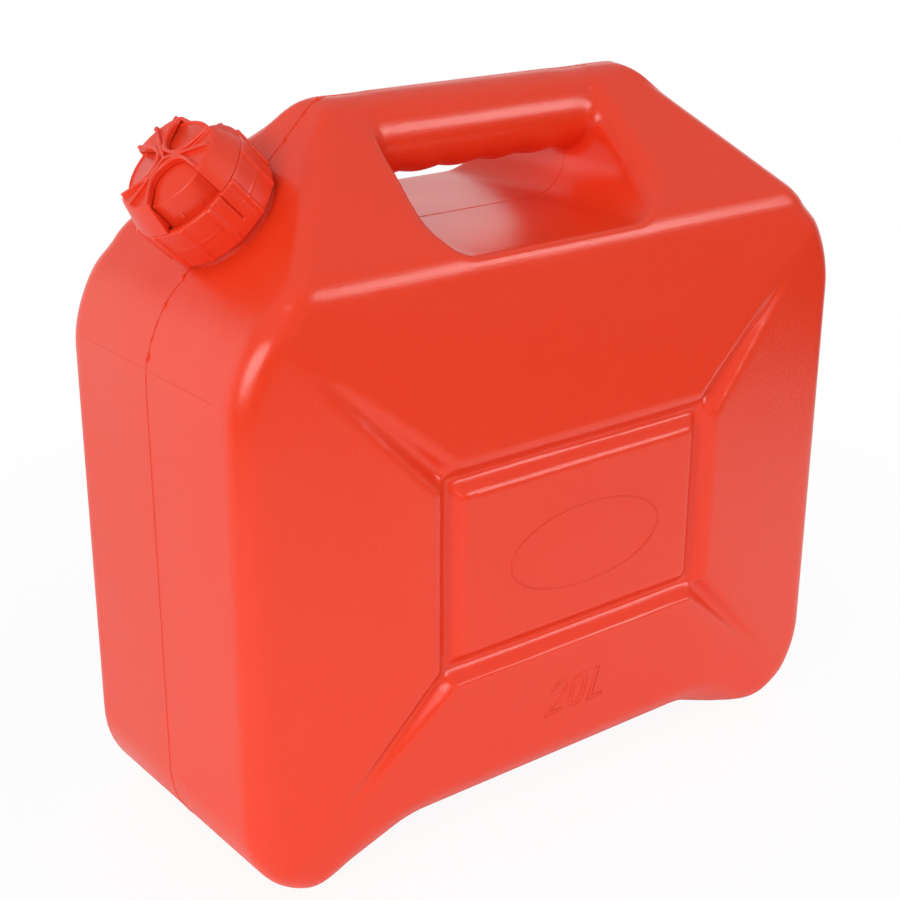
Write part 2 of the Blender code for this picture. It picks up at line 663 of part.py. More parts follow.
def make_grip(parts, cutters, finish):
    """The three-lobed grip: a tapered cap cut by three scallops, with ribs along its edges."""
    plate_top = GRIP_TOP
    rib_top = plate_top + GRIP_RIB_RISE
    grip = turned(
        "grip",
        [
            (0, plate_top),
            (GRIP_TOP_RADIUS - GRIP_CHAMFER, plate_top),
            (GRIP_TOP_RADIUS, plate_top - GRIP_CHAMFER),
            (GRIP_FOOT_RADIUS, GRIP_BOTTOM),
            (GRIP_BORE_RADIUS, GRIP_BOTTOM),
            (GRIP_BORE_RADIUS, GRIP_CEILING),
            (0, GRIP_CEILING),
        ],
        COLLAR_SIDES, parts,
    )
    grip.matrix_world = NECK_FRAME
    rib_reach = GRIP_TOP_RADIUS - GRIP_CHAMFER - GAP
    rib_foot = (GRIP_CEILING + plate_top) / 2
    rib_limit = turned(
        "grip rib limit",
        [
            (0, rib_top + GRIP_WALL),
            (rib_reach, rib_top + GRIP_WALL),
            (rib_reach, GRIP_BOTTOM),
            (0, GRIP_BOTTOM),
        ],
        COLLAR_SIDES, cutters, is_cutter=True,
    )
    rib_limit.matrix_world = NECK_FRAME
    turns = [LOBE_PHASE + math.tau * index / LOBES for index in range(LOBES)]
    scallop_turns = [turn + math.pi / LOBES for turn in turns]
    frames = [NECK_FRAME @ Matrix.Rotation(turn, 4, "Z") for turn in scallop_turns]
    lift = Matrix.Translation((0, 0, (rib_top + rib_foot) / 2))
    for index, frame in enumerate(frames):
        band = plate(
            f"scallop rib {index + 1}", scallop_outline(GRIP_RIB_WIDTH),
            rib_top - rib_foot, frame @ lift, cutters,
        )
        boolean(band, rib_limit, "INTERSECT")
        boolean(grip, band, "UNION")
    for index, frame in enumerate(frames):
        opening = plate(
            f"scallop {index + 1}", scallop_outline(0), OVERRUN * 2, frame, cutters,
        )
        boolean(grip, opening, "DIFFERENCE")
    star_depth = rib_top - rib_foot + 2 * GAP
    star = plate("grip star", star_outline(), star_depth, NECK_FRAME @ lift, cutters)
    boolean(grip, star, "UNION")

    slope = (GRIP_FOOT_RADIUS - GRIP_TOP_RADIUS) / (plate_top - GRIP_CHAMFER - GRIP_BOTTOM)
    inner_foot = GRIP_FOOT_RADIUS - GRIP_WALL
    pocket_in = GRIP_BORE_RADIUS - GAP
    pocket_top = GRIP_BOTTOM + (inner_foot - pocket_in) / slope
    pocket_foot = GRIP_BOTTOM - GRIP_WALL
    pocket = turned(
        "lobe pockets",
        [
            (pocket_in, pocket_top),
            (inner_foot + slope * GRIP_WALL, pocket_foot),
            (pocket_in, pocket_foot),
        ],
        COLLAR_SIDES, cutters, is_cutter=True, closed=True,
    )
    pocket.matrix_world = NECK_FRAME
    for index, frame in enumerate(frames):
        flank = plate(
            f"lobe flanks {index + 1}", scallop_outline(GRIP_WALL), OVERRUN * 2, frame, cutters,
        )
        boolean(pocket, flank, "DIFFERENCE")
    boolean(grip, pocket, "DIFFERENCE")
    grip.data.materials.append(finish)
    return grip


def smooth_round_surfaces(made):
    for polygon in made.data.polygons:
        polygon.use_smooth = True


def build():
    clear_scene()
    parts = new_collection("jerrycan")
    cutters = new_collection("cutters")
    red = material("blow-moulded HDPE, fuel red", RED, 0.38)
    cap_red = material("injection-moulded HDPE, fuel red", RED, 0.34)
    rubber = material("nitrile rubber, black", SEAL_BLACK, 0.7)
    pieces = [
        make_tank(parts, cutters, red),
        make_seal(parts, rubber),
        make_inner_cap(parts, cap_red),
        make_collar(parts, cutters, cap_red),
        make_grip(parts, cutters, cap_red),
    ]
    root = bpy.data.objects.new("can centre", None)
    parts.objects.link(root)
    root.location.x = (CLOSURE_OVERHANG - TANK_LENGTH) / 2  # between the two extremes
    for made in list(parts.objects) + list(cutters.objects):
        if made is not root:
            made.parent = root
    for made in pieces:
        smooth_round_surfaces(made)
    bpy.context.view_layer.update()


build()
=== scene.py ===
"""Looks of a red 20 litre fuel can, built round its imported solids.

The tank is remade from the outlines that its mould is cut to, then softened as blown plastic is.
The closure's pieces are turned and shaped as injection mouldings. One operator makes each piece.
"""

import json
import math

import bmesh
import bpy
import numpy as np
from bpy.props import FloatProperty, IntProperty, PointerProperty, StringProperty
from bpy.types import Operator, Panel, PropertyGroup
from mathutils import Matrix, Vector
from mathutils.bvhtree import BVHTree

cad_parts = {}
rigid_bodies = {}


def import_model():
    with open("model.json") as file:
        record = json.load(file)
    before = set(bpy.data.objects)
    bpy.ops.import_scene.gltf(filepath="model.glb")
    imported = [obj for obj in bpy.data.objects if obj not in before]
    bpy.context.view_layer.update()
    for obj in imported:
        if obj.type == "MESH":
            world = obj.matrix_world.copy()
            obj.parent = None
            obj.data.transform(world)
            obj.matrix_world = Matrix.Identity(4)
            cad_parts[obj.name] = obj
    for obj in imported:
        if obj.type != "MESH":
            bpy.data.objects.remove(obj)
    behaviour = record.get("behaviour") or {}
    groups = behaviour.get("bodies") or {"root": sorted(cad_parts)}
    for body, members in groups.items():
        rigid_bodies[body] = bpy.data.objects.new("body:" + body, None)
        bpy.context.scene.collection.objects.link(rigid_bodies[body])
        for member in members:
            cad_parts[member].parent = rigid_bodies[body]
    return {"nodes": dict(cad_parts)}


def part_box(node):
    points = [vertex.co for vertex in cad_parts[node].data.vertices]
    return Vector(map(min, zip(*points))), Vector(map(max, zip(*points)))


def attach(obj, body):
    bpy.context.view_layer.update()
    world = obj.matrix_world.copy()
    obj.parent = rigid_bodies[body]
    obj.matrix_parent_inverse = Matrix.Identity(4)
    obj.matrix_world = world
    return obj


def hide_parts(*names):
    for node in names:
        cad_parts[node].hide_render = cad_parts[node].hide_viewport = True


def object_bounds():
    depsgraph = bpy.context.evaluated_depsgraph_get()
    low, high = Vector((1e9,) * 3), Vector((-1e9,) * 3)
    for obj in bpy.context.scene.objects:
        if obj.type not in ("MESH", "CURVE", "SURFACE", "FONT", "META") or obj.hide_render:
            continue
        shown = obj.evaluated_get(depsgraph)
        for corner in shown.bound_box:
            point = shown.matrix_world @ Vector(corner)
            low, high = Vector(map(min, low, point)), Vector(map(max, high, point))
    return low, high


bl_info = {
    "name": "Fuel can",
    "version": (1, 0, 0),
    "blender": (4, 5, 0),
    "location": "View3D > Sidebar > Fuel can",
    "description": "Dresses the solids of a blow-moulded fuel can and its closure",
    "category": "Object",
}

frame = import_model()
CAD_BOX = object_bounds()
TANK_LOW, TANK_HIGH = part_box("tank")
LEFT = TANK_LOW.x

MM = 0.001
BLOWN = "blow-moulded HDPE, fuel red"
INJECTED = "injection-moulded HDPE, fuel red"
MOULDED_RUBBER = "moulded nitrile rubber, black"


def length(name, description, default, least=0.0):
    return FloatProperty(
        name=name, description=description, default=default, min=least, unit="LENGTH", precision=5
    )


def colour(name, description, default):
    return StringProperty(name=name, description=description, default=default)


class TankSizes(PropertyGroup):
    length: length("Length", "From the narrow side under the neck to the far side", 0.396)
    height: length("Height", "From the ground to the top of the grip bar", 0.3857)
    depth: length("Depth", "Across the upright corner edges", 0.1646)
    chamfer: length("Chamfer", "Run of the cut upper corners", 0.0998)
    ridge: length("Bar radius", "Radius of the roof's ridge and of the grip bar", 0.0216)
    edge: length("Edge radius", "Rounding of the outer edges", 0.0129)
    base_edge: length("Base edge radius", "Rounding of the edges over the arch", 0.031)
    rise: length("Rise", "How far the border stands out from the corner plane", 0.0121)
    margin: length("Border margin", "From the tank's sides to the border", 0.1039)
    border_low: length("Border foot", "Height of the border's lower edge", 0.1003)
    border_drop: length("Border drop", "From the eaves down to the border", 0.0984)
    channel: length("Channel width", "Border edge to panel edge", 0.0159)
    channel_depth: length("Channel depth", "Depth of the channel round the panel", 0.0077)
    channel_slope: length("Channel wall", "Run of the channel's sloping walls", 0.0068)
    panel_rise: length("Panel rise", "How far the panel stands out", 0.0111)
    wall: length("Wall", "Thickness of the blown wall", 0.0026)
    voxel: length("Grain", "Spacing of the points that the skin is resampled to", 0.00118)


class ClosureSizes(PropertyGroup):
    foot: length("Neck foot", "Where the neck's axis leaves the chamfer", 0.0483)
    neck: length("Neck radius", "Outside of the neck", 0.0278)
    bore: length("Bore radius", "Inside of the neck", 0.0242)
    neck_height: length("Neck height", "From the chamfer to the neck's rim", 0.0216)
    lead: length("Thread lead", "Rise of the thread in one turn", 0.006)
    collar: length("Collar radius", "At its upper edge", 0.0324)
    collar_low: length("Collar foot", "Height of its lower edge", 0.0043)
    collar_top: length("Collar top", "Height of its upper edge", 0.0293)
    ribs: IntProperty(name="Collar ribs", description="Gripping ribs round the collar", default=12)


class Finish(PropertyGroup):
    tank_red: colour("Tank red", "Colour of the tank's plastic", "#EF3D1C")
    cap_red: colour("Closure red", "Colour of the closure's plastic", "#EF3D1E")
    seal_black: colour("Seal black", "Colour of the washer's rubber", "#26211F")
    floor_white: colour("Floor white", "Colour of the floor", "#FFFFFF")


def linear(hex_colour):
    """sRGB hex to the linear colour that shaders take."""
    parts = [int(hex_colour[i:i + 2], 16) / 255 for i in (1, 3, 5)]
    return tuple(
        part / 12.92 if part <= 0.04045 else ((part + 0.055) / 1.055) ** 2.4 for part in parts
    ) + (1.0,)


def add_node(tree, kind, settings=None, **links):
    """Adds a node, sets its properties and inputs, and links inputs given as sockets."""
    made = tree.nodes.new(kind)
    for name, value in (settings or {}).items():
        if name in made.inputs.keys() or isinstance(name, int):
            made.inputs[name].default_value = value
        else:
            setattr(made, name, value)
    for name, socket in links.items():
        key = name.replace("_", " ")
        target = made.inputs[int(key[1:])] if key[0] == "i" and key[1:].isdigit() else made.inputs[key]
        tree.links.new(socket, target)
    return made


def ranged(tree, value, low, high, to_low, to_high):
    """Maps a value from one range to another and keeps it there."""
    limits = {"From Min": low, "From Max": high, "To Min": to_low, "To Max": to_high}
    return add_node(tree, "ShaderNodeMapRange", limits, Value=value).outputs[0]


def maths(tree, operation, first, second):
    return add_node(tree, "ShaderNodeMath", {"operation": operation}, i0=first, i1=second).outputs[0]


def mottle(tree, place, size_mm, detail, roughness=0.5):
    """Noise whose coarsest grain is size_mm millimetres wide."""
    settings = {"Scale": 1 / (size_mm * MM), "Detail": detail, "Roughness": roughness}
    return add_node(tree, "ShaderNodeTexNoise", settings, Vector=place).outputs["Fac"]


def new_material(name):
    made = bpy.data.materials.new(name)
    made.use_nodes = True
    return made, made.node_tree, made.node_tree.nodes["Principled BSDF"]


def moulded_red(name, colour_hex, roughness, grain_mm, grain_depth, tank):
    """Opaque coloured HDPE: waxy, with soft broad highlights and a fine orange-peel skin."""
    made, tree, shader = new_material(name)
    shader.inputs["Base Color"].default_value = linear(colour_hex)
    shader.inputs["Roughness"].default_value = roughness
    shader.inputs["IOR"].default_value = HDPE_IOR
    shader.inputs["Subsurface Weight"].default_value = GLOW_SHARE
    shader.inputs["Subsurface Radius"].default_value = GLOW_REACH
    shader.inputs["Subsurface Scale"].default_value = 1.0
    place = add_node(tree, "ShaderNodeTexCoord").outputs["Object"]
    height = mottle(tree, place, grain_mm, 3.0, 0.6)
    if tank:
        # The mould's sand-blasted areas: ovals on the narrow side, the faces and the panel
        total = None
        for centre, reach in TEXTURED_AREAS:
            settings = {"vector_type": "TEXTURE", "Location": centre, "Scale": reach}
            moved = add_node(tree, "ShaderNodeMapping", settings, Vector=place)
            mask = add_node(
                tree, "ShaderNodeTexGradient", {"gradient_type": "SPHERICAL"},
                Vector=moved.outputs["Vector"],
            ).outputs["Fac"]
            total = maths(tree, "MAXIMUM", total, mask) if total else mask
        height = maths(tree, "MULTIPLY", height, ranged(tree, total, 0.0, 0.5, 0.35, 1.0))
    fine = add_node(
        tree, "ShaderNodeBump", {"Strength": 1.0, "Distance": grain_depth * MM}, Height=height
    )
    # Broad unevenness of the blown wall, tens of millimetres long and hardly there
    wave = add_node(
        tree, "ShaderNodeBump",
        {"Strength": 1.0, "Distance": (WAVE_DEPTH_TANK if tank else WAVE_DEPTH_CLOSURE) * MM},
        Height=mottle(tree, place, WAVE_MM, 1.0), Normal=fine.outputs["Normal"],
    )
    tree.links.new(wave.outputs["Normal"], shader.inputs["Normal"])
    return made


def rubber(name, colour_hex):
    """Nitrile rubber, moulded: nearly black and dull, with a faint mottle."""
    made, tree, shader = new_material(name)
    place = add_node(tree, "ShaderNodeTexCoord").outputs["Object"]
    tint = add_node(
        tree, "ShaderNodeMix",
        {"data_type": "RGBA", 6: linear(colour_hex), 7: linear(RUBBER_BLOOM)},
        Factor=mottle(tree, place, 3, 2.0),
    )
    tree.links.new(tint.outputs[2], shader.inputs["Base Color"])
    shader.inputs["Roughness"].default_value = 0.7
    return made


# Plastic: refraction, and the share and reach of red, green and blue light that glows through
HDPE_IOR = 1.5
GLOW_SHARE = 0.12
GLOW_REACH = (0.004, 0.0010, 0.0006)
# Unevenness of the walls: its width and depths in millimetres
WAVE_MM = 38
WAVE_DEPTH_TANK = 0.5
WAVE_DEPTH_CLOSURE = 0.1
RUBBER_BLOOM = "#35302D"

# Centre and reach of each sand-blasted oval, in metres from the object's origin
TEXTURED_AREAS = [
    ((LEFT, 0.0, 0.15), (0.05, 0.085, 0.16)),
    ((LEFT + 0.050, -0.09, 0.15), (0.055, 0.06, 0.14)),
    ((LEFT + 0.198, -0.095, 0.156), (0.10, 0.03, 0.06)),
    ((LEFT + 0.346, -0.09, 0.15), (0.055, 0.06, 0.14)),
    ((LEFT + 0.050, 0.09, 0.15), (0.055, 0.06, 0.14)),
    ((LEFT + 0.198, 0.095, 0.156), (0.10, 0.03, 0.06)),
    ((LEFT + 0.346, 0.09, 0.15), (0.055, 0.06, 0.14)),
]


def new_object(name, work):
    mesh = bpy.data.meshes.new(name)
    work.to_mesh(mesh)
    work.free()
    made = bpy.data.objects.new(name, mesh)
    bpy.context.scene.collection.objects.link(made)
    return made


def applied(made):
    """Replaces an object's mesh with what its modifiers make of it."""
    bpy.context.view_layer.update()
    shown = made.evaluated_get(bpy.context.evaluated_depsgraph_get())
    mesh = bpy.data.meshes.new_from_object(shown)
    made.modifiers.clear()
    old = made.data
    made.data = mesh
    mesh.name = made.name
    bpy.data.meshes.remove(old)
    return made


def values(items, key, width=3, kind=np.float32):
    """One row for each of the items, with its values of the key."""
    flat = np.empty(len(items) * width, kind)
    items.foreach_get(key, flat)
    return flat.reshape(-1, width)


def even_grain(made, spacing):
    """Resamples a surface to evenly spaced points."""
    modifier = made.modifiers.new("even grain", "REMESH")
    modifier.mode = "VOXEL"
    modifier.voxel_size = spacing


def softening(made, name, turns):
    modifier = made.modifiers.new(name, "SMOOTH")
    modifier.factor = 0.5
    modifier.iterations = turns
    return modifier


def lighter(made, share):
    made.modifiers.new("lighter mesh", "DECIMATE").ratio = share


def next_ring(work, edges):
    """Extrudes a ring of edges and gives the new ring's vertices and edges."""
    grown = bmesh.ops.extrude_edge_only(work, edges=edges)["geom"]
    verts = [item for item in grown if isinstance(item, bmesh.types.BMVert)]
    edges = [
        item for item in grown
        if isinstance(item, bmesh.types.BMEdge) and item.verts[0] in verts and item.verts[1] in verts
    ]
    return verts, edges


def fade(value, start, run):
    """0 up to start and 1 from start + run on; a negative run fades the other way."""
    return np.clip((value - start) / run, 0, 1)


def eased(share):
    return share * share * (3 - 2 * share)


def opening_sides(size):
    """Where the hand opening's left and right wall and its floor lie."""
    return (
        LEFT + OPENING["left"], LEFT + size.length - OPENING["right"],
        size.height - OPENING["drop"],
    )


def finished(made, body, slot, finish, *nodes):
    """Smooth shading, material, and the ties to the frame."""
    for polygon in made.data.polygons:
        polygon.use_smooth = True
    made.data.materials.clear()
    made.data.materials.append(bpy.data.materials[finish])
    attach(made, body)
    if nodes:
        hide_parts(*nodes)
    return made


def outline_prism(name, corners, depth, view, segments):
    """A flat outline of (a, b, radius) corners, rounded by bevels, then extruded both ways.

    Gives the object and the outline's points; view says where a, b and the depth lie.
    """
    work = bmesh.new()
    verts = [work.verts.new((a, b, -depth / 2)) for a, b, _ in corners]
    radii = {vert: radius for vert, (_, _, radius) in zip(verts, corners)}
    work.faces.new(verts)
    for vert in verts:
        if not radii[vert]:
            continue
        first, second = [(edge.other_vert(vert).co - vert.co).normalized() for edge in vert.link_edges]
        turn = math.pi - first.angle(second)
        bmesh.ops.bevel(
            work, geom=[vert], affect="VERTICES", offset=radii[vert] * math.tan(turn / 2),
            offset_type="OFFSET", segments=max(2, round(segments * turn / math.pi)),
            profile=0.5, material=-1, clamp_overlap=False,
        )
    outline = np.array([vert.co.xy[:] for vert in work.faces[:][0].verts])
    grown = bmesh.ops.extrude_face_region(work, geom=work.faces[:])
    moved = [item for item in grown["geom"] if isinstance(item, bmesh.types.BMVert)]
    bmesh.ops.translate(work, verts=moved, vec=(0, 0, depth))
    work.transform(view)
    bmesh.ops.recalc_face_normals(work, faces=work.faces)
    if work.calc_volume(signed=True) < 0:
        bmesh.ops.reverse_faces(work, faces=work.faces)
    return new_object(name, work), outline


def outline_distance(first, second, outline):
    """Signed distance of points to a closed outline, minus inside, and the way outwards."""
    best = np.full(len(first), np.inf)
    near = np.zeros((len(first), 2))
    face_out = np.zeros((len(first), 2))
    inside = np.zeros(len(first), bool)
    following = np.roll(outline, -1, axis=0)
    winding = np.sign((outline[:, 0] * following[:, 1] - following[:, 0] * outline[:, 1]).sum())
    for (ax, ay), (bx, by) in zip(outline, following):
        dx, dy = bx - ax, by - ay
        along = np.clip(((first - ax) * dx + (second - ay) * dy) / (dx * dx + dy * dy), 0, 1)
        gap_x = first - ax - along * dx
        gap_y = second - ay - along * dy
        gap = gap_x * gap_x + gap_y * gap_y
        closer = gap < best
        best[closer] = gap[closer]
        near[closer, 0] = gap_x[closer]
        near[closer, 1] = gap_y[closer]
        face_out[closer] = np.array((dy, -dx)) * winding / math.hypot(dx, dy)
        if ay != by:
            crosses = ((ay > second) != (by > second)) & (first < ax + (second - ay) * dx / dy)
            inside ^= crosses
    distance = np.sqrt(best)
    sign = np.where(inside, -1.0, 1.0)
    way = near * (sign / np.maximum(distance, 1e-9))[:, None]
    return distance * sign, np.where((distance > 2e-5)[:, None], way, face_out)


def rounded_edge(a, a_out, b, b_out, radius):
    """Distance to the solid common to two others, its shared edge rounded to the radius."""
    cosine = np.einsum("ij,ij->i", a_out, b_out)
    sine = np.maximum(1 - cosine ** 2, 1e-6)
    a_in, b_in = a + radius, b + radius
    a_share = (a_in - b_in * cosine) / sine
    b_share = (b_in - a_in * cosine) / sine
    reach = a_share[:, None] * a_out + b_share[:, None] * b_out
    span = np.linalg.norm(reach, axis=1)
    turned_in = (a_share > 0) & (b_share > 0) & (sine > 0.01)
    plain = np.maximum(a, b)
    plain_out = np.where((a > b)[:, None], a_out, b_out)
    distance = np.where(turned_in, span - radius, plain)
    return distance, np.where(
        turned_in[:, None], reach / np.maximum(span, 1e-9)[:, None], plain_out
    )


SIDE_VIEW = Matrix(((1, 0, 0, 0), (0, 0, 1, 0), (0, 1, 0, 0), (0, 0, 0, 1)))
END_VIEW = Matrix(((0, 0, 1, 0), (1, 0, 0, 0), (0, 1, 0, 0), (0, 0, 0, 1)))


def shaped_block(name, place, mirrored=False):
    """A cube whose corners go where place(i, j, k) says; mirrored puts it on the back face."""
    work = bmesh.new()
    bmesh.ops.create_cube(work, size=2)
    for vert in work.verts:
        vert.co = place(*(round(value) for value in vert.co))
    if mirrored:
        bmesh.ops.scale(work, vec=(1, -1, 1), verts=work.verts)
    if work.calc_volume(signed=True) < 0:
        bmesh.ops.reverse_faces(work, faces=work.faces)
    return new_object(name, work)


def combine(target, tool, operation):
    modifier = target.modifiers.new(tool.name, "BOOLEAN")
    modifier.operation = operation
    modifier.solver = "EXACT"
    modifier.object = tool


def neck_frame(closure, tank):
    """Local Z is the neck's axis, local X points up the chamfer."""
    base = Matrix.Translation((LEFT + closure.foot, 0, tank.height - tank.chamfer + closure.foot))
    return base @ Matrix.Rotation(-math.pi / 4, 4, "Y")


OPENING = {
    "left": 0.1196, "right": 0.1345, "drop": 0.0679, "left low": 0.019, "right low": 0.022,
    "high": 0.012,
}
RIM = {"left": 0.0065, "right": 0.0125, "top": 0.0035, "floor": 0.0032}
# Side outline: the feet and the arch between them, and the radii of all its corners
SIDE = {
    "foot radius": 0.0494, "foot end": 0.0585, "foot end radius": 0.034, "arch start": 0.0987,
    "arch rise": 0.0154, "arch radius": 0.040, "shoulder radius": 0.0597, "top radius": 0.0165,
}
EAVES_RADIUS = 0.0175
# How far the cutting outlines reach past the tank
REACH = 0.06
# Turns of smoothing: all over, in the relief, in its grooves, and at the opening's ends
TURNS = {"all": 9, "relief": 16, "grooves": 18, "ends": 60, "roof end": 60}
SKIN_TRIANGLES = 190000
# Start and run of the fades that say where the form is softened or rounded more
FADES = {
    "relief face": (-0.008, 0.004), "relief top": (0.300, -0.01), "groove": (0.004, 0.01),
    "opening end": (0.011, -0.006), "roof end": (0.016, -0.008), "roof band": (0.020, -0.008),
    "roof middle": (0.045, -0.01), "base": (0.075, -0.055), "arch": (0.032, 0.03),
    "rim foot": (0, 0.02), "rim top": (-0.030, 0.018),
}
# Where the opening's ends are melted: round the bar, over the floor, within the faces
ENDS = {"bar": 0.004, "floor": 0.003, "inset": 0.012, "share": 0.6}
ROOF_BAND_DROP = 0.014
# The rim widens from left to right over this run, and is held back at the top by this share
RIM_RUN = 0.08
RIM_TOP_SHARE = 0.6
# The bar is left as it is where the rounding would take more than this
BAR_SLACK = 0.0004
# The hole under the neck: its gap to the neck's outside and its reach along the axis
NECK_HOLE = {"inset": 0.0012, "reach": 0.012}
FINGERS = {"pitch": 0.0252, "depth": 0.00185}
ROOF = math.radians(42.5)


class FUELCAN_OT_tank(Operator):
    """Make the blown tank's skin, its neck and its inside"""
    bl_idname = "fuelcan.tank"
    bl_label = "Tank"

    def execute(self, context):
        size = context.scene.fuelcan_tank
        closure = context.scene.fuelcan_closure
        skin = self.mould(size)
        self.soften(skin, size, closure)
        finished(skin, "tank", "tank_hdpe", BLOWN, "tank")
        self.neck(size, closure)
        self.inside(skin, closure, size)
        return {"FINISHED"}

    def mould(self, size):
        half = size.depth / 2
        face = half + size.rise
        ridge = size.height - size.ridge
        apex = ridge + size.ridge / math.cos(ROOF)
        eaves = apex - half * math.tan(ROOF)
        shoulder = size.height - size.chamfer
        far = LEFT + size.length
        half_side = [
            (0, 0, SIDE["foot radius"]), (SIDE["foot end"], 0, SIDE["foot end radius"]),
            (SIDE["arch start"], SIDE["arch rise"], SIDE["arch radius"]),
        ]
        side = [(LEFT + x, z, radius) for x, z, radius in half_side]
        side += [(far - x, z, radius) for x, z, radius in reversed(half_side)]
        side += [
            (far, shoulder, SIDE["shoulder radius"]),
            (far - size.chamfer, size.height, SIDE["top radius"]),
            (LEFT + size.chamfer, size.height, SIDE["top radius"]),
            (LEFT, shoulder, SIDE["shoulder radius"]),
        ]
        skin, self.side = outline_prism("tank_skin", side, 4 * REACH, SIDE_VIEW, 32)
        border_top = eaves - size.border_drop
        self.border_middle = (size.border_low + border_top) / 2
        self.border_half = (border_top - size.border_low) / 2
        drop = half - size.rise * REACH / size.border_low
        right = [
            (drop, -REACH, 0), (face, size.border_low, 0), (face, border_top, 0),
            (half, eaves, EAVES_RADIUS),
        ]
        left = [(-y, z, radius) for y, z, radius in reversed(right)]
        ends, self.ends = outline_prism(
            "ends", right + [(0, apex, size.ridge)] + left, size.length + 4 * REACH, END_VIEW, 36
        )
        slope = size.rise * REACH / size.margin
        front = [
            (LEFT - REACH, -half + slope, 0), (LEFT + size.margin, -face, 0),
            (far - size.margin, -face, 0), (far + REACH, -half + slope, 0),
        ]
        back = [(x, -y, radius) for x, y, radius in reversed(front)]
        plan, self.plan = outline_prism("plan", front + back, 4 * size.height, Matrix(), 8)
        combine(skin, ends, "INTERSECT")
        combine(skin, plan, "INTERSECT")
        opening = self.opening(size)
        combine(skin, opening, "DIFFERENCE")
        cutters = [ends, plan, opening]
        for back_side in (False, True):
            for cutter in self.relief(size, eaves, back_side):
                combine(skin, cutter, "DIFFERENCE")
                cutters.append(cutter)
        applied(skin)
        spent = [bpy.data.objects[name] for name in ("bar", "panel front", "panel back")]
        for cutter in cutters + spent:
            bpy.data.objects.remove(cutter)
        return skin

    def opening(self, size):
        """Cutter of the hand opening, which leaves the bar with its finger hollows."""
        left, right, floor = opening_sides(size)
        top = size.height - size.ridge * (1 - math.cos(ROOF)) - 0.0002
        corners = [
            (left, floor, OPENING["left low"]), (right, floor, OPENING["right low"]),
            (right, top, OPENING["high"]), (left, top, OPENING["high"]),
        ]
        opening, self.hole = outline_prism("opening", corners, 4 * REACH, SIDE_VIEW, 48)
        work = bmesh.new()
        start = left - 2 * size.ridge
        ring = bmesh.ops.create_circle(work, segments=96, radius=size.ridge)["verts"]
        bmesh.ops.rotate(work, verts=ring, cent=(0, 0, 0), matrix=Matrix.Rotation(math.pi / 2, 3, "Y"))
        bmesh.ops.translate(work, verts=ring, vec=(start, 0, size.height - size.ridge))
        steps = 200
        stride = (right - left + 4 * size.ridge) / steps
        edges = work.edges[:]
        for _ in range(steps):
            moved, edges = next_ring(work, edges)
            bmesh.ops.translate(work, verts=moved, vec=(stride, 0, 0))
        centre = size.height - size.ridge
        for vert in work.verts:
            below = max(0, (centre - vert.co.z) / size.ridge)
            wave = 1 - abs(math.sin(math.pi * (vert.co.x - left) / FINGERS["pitch"]))
            vert.co.z += FINGERS["depth"] * wave * below ** 2
        bmesh.ops.holes_fill(work, edges=work.edges, sides=0)
        bmesh.ops.recalc_face_normals(work, faces=work.faces)
        combine(opening, new_object("bar", work), "DIFFERENCE")
        return opening

    def relief(self, size, eaves, back_side):
        """Cutters of the channel and of the four diagonal grooves of one face."""
        front = -size.depth / 2
        face = front - size.rise
        floor = face + size.channel_depth
        outside = face - size.channel_depth
        slope = size.channel_slope / size.channel_depth
        left = LEFT + size.margin
        right = LEFT + size.length - size.margin
        low = size.border_low
        high = eaves - size.border_drop

        def outer(i, j, k):
            reach = (floor - outside) * slope * (j < 0) - size.channel_slope
            return (left - reach if i < 0 else right + reach, outside if j < 0 else floor,
                    low - reach if k < 0 else high + reach)

        top = front - size.panel_rise
        base = floor + size.edge

        def inner(i, j, k):
            inset = size.channel - (base - top) * slope * (j > 0)
            return (left + inset if i < 0 else right - inset, top if j < 0 else base,
                    low + inset if k < 0 else high - inset)

        side = "back" if back_side else "front"
        channel = shaped_block("channel " + side, outer, back_side)
        combine(channel, shaped_block("panel " + side, inner, back_side), "DIFFERENCE")
        cutters = [channel]
        for at_right in (False, True):
            for at_top in (False, True):
                start = Vector((right if at_right else left, floor, high if at_top else low))
                corner = Vector((LEFT + size.length * at_right, front, eaves * at_top))
                crest = Vector((start.x, face, start.z))
                tip = start.lerp(crest.lerp(corner, 0.66), 1.1)
                run = Vector((tip.x - start.x, 0, tip.z - start.z)).normalized()
                across = Vector((-run.z, 0, run.x))
                near = start - (tip - start).normalized() * size.channel_slope
                depth = size.rise + size.channel_depth

                def groove(i, j, k):
                    half = 0.00125 + depth * slope * (j < 0)
                    lift = Vector((0, -depth * (j < 0), 0))
                    return (near if i < 0 else tip) + across * (k * half) + lift

                cutters.append(shaped_block(f"groove {side} {at_right:d}{at_top:d}", groove, back_side))
        return cutters

    def soften(self, skin, size, closure):
        """Resamples the form evenly and lets its edges melt, as far as each region's do."""
        even_grain(skin, size.voxel)
        applied(skin)
        points = values(skin.data.vertices, "co").astype(np.float64)
        todo = np.arange(len(points))
        for _ in range(4):
            distance, outward = self.form(points[todo], size)
            todo, distance, outward = (
                part[distance > 1e-6] for part in (todo, distance, outward)
            )
            points[todo] -= distance[:, None] * outward
        skin.data.vertices.foreach_set("co", points.astype(np.float32).ravel())
        even_grain(skin, size.voxel)
        applied(skin)
        x, y, z = values(skin.data.vertices, "co").T.astype(np.float64)
        left, right, floor = opening_sides(size)
        ridge = size.height - size.ridge
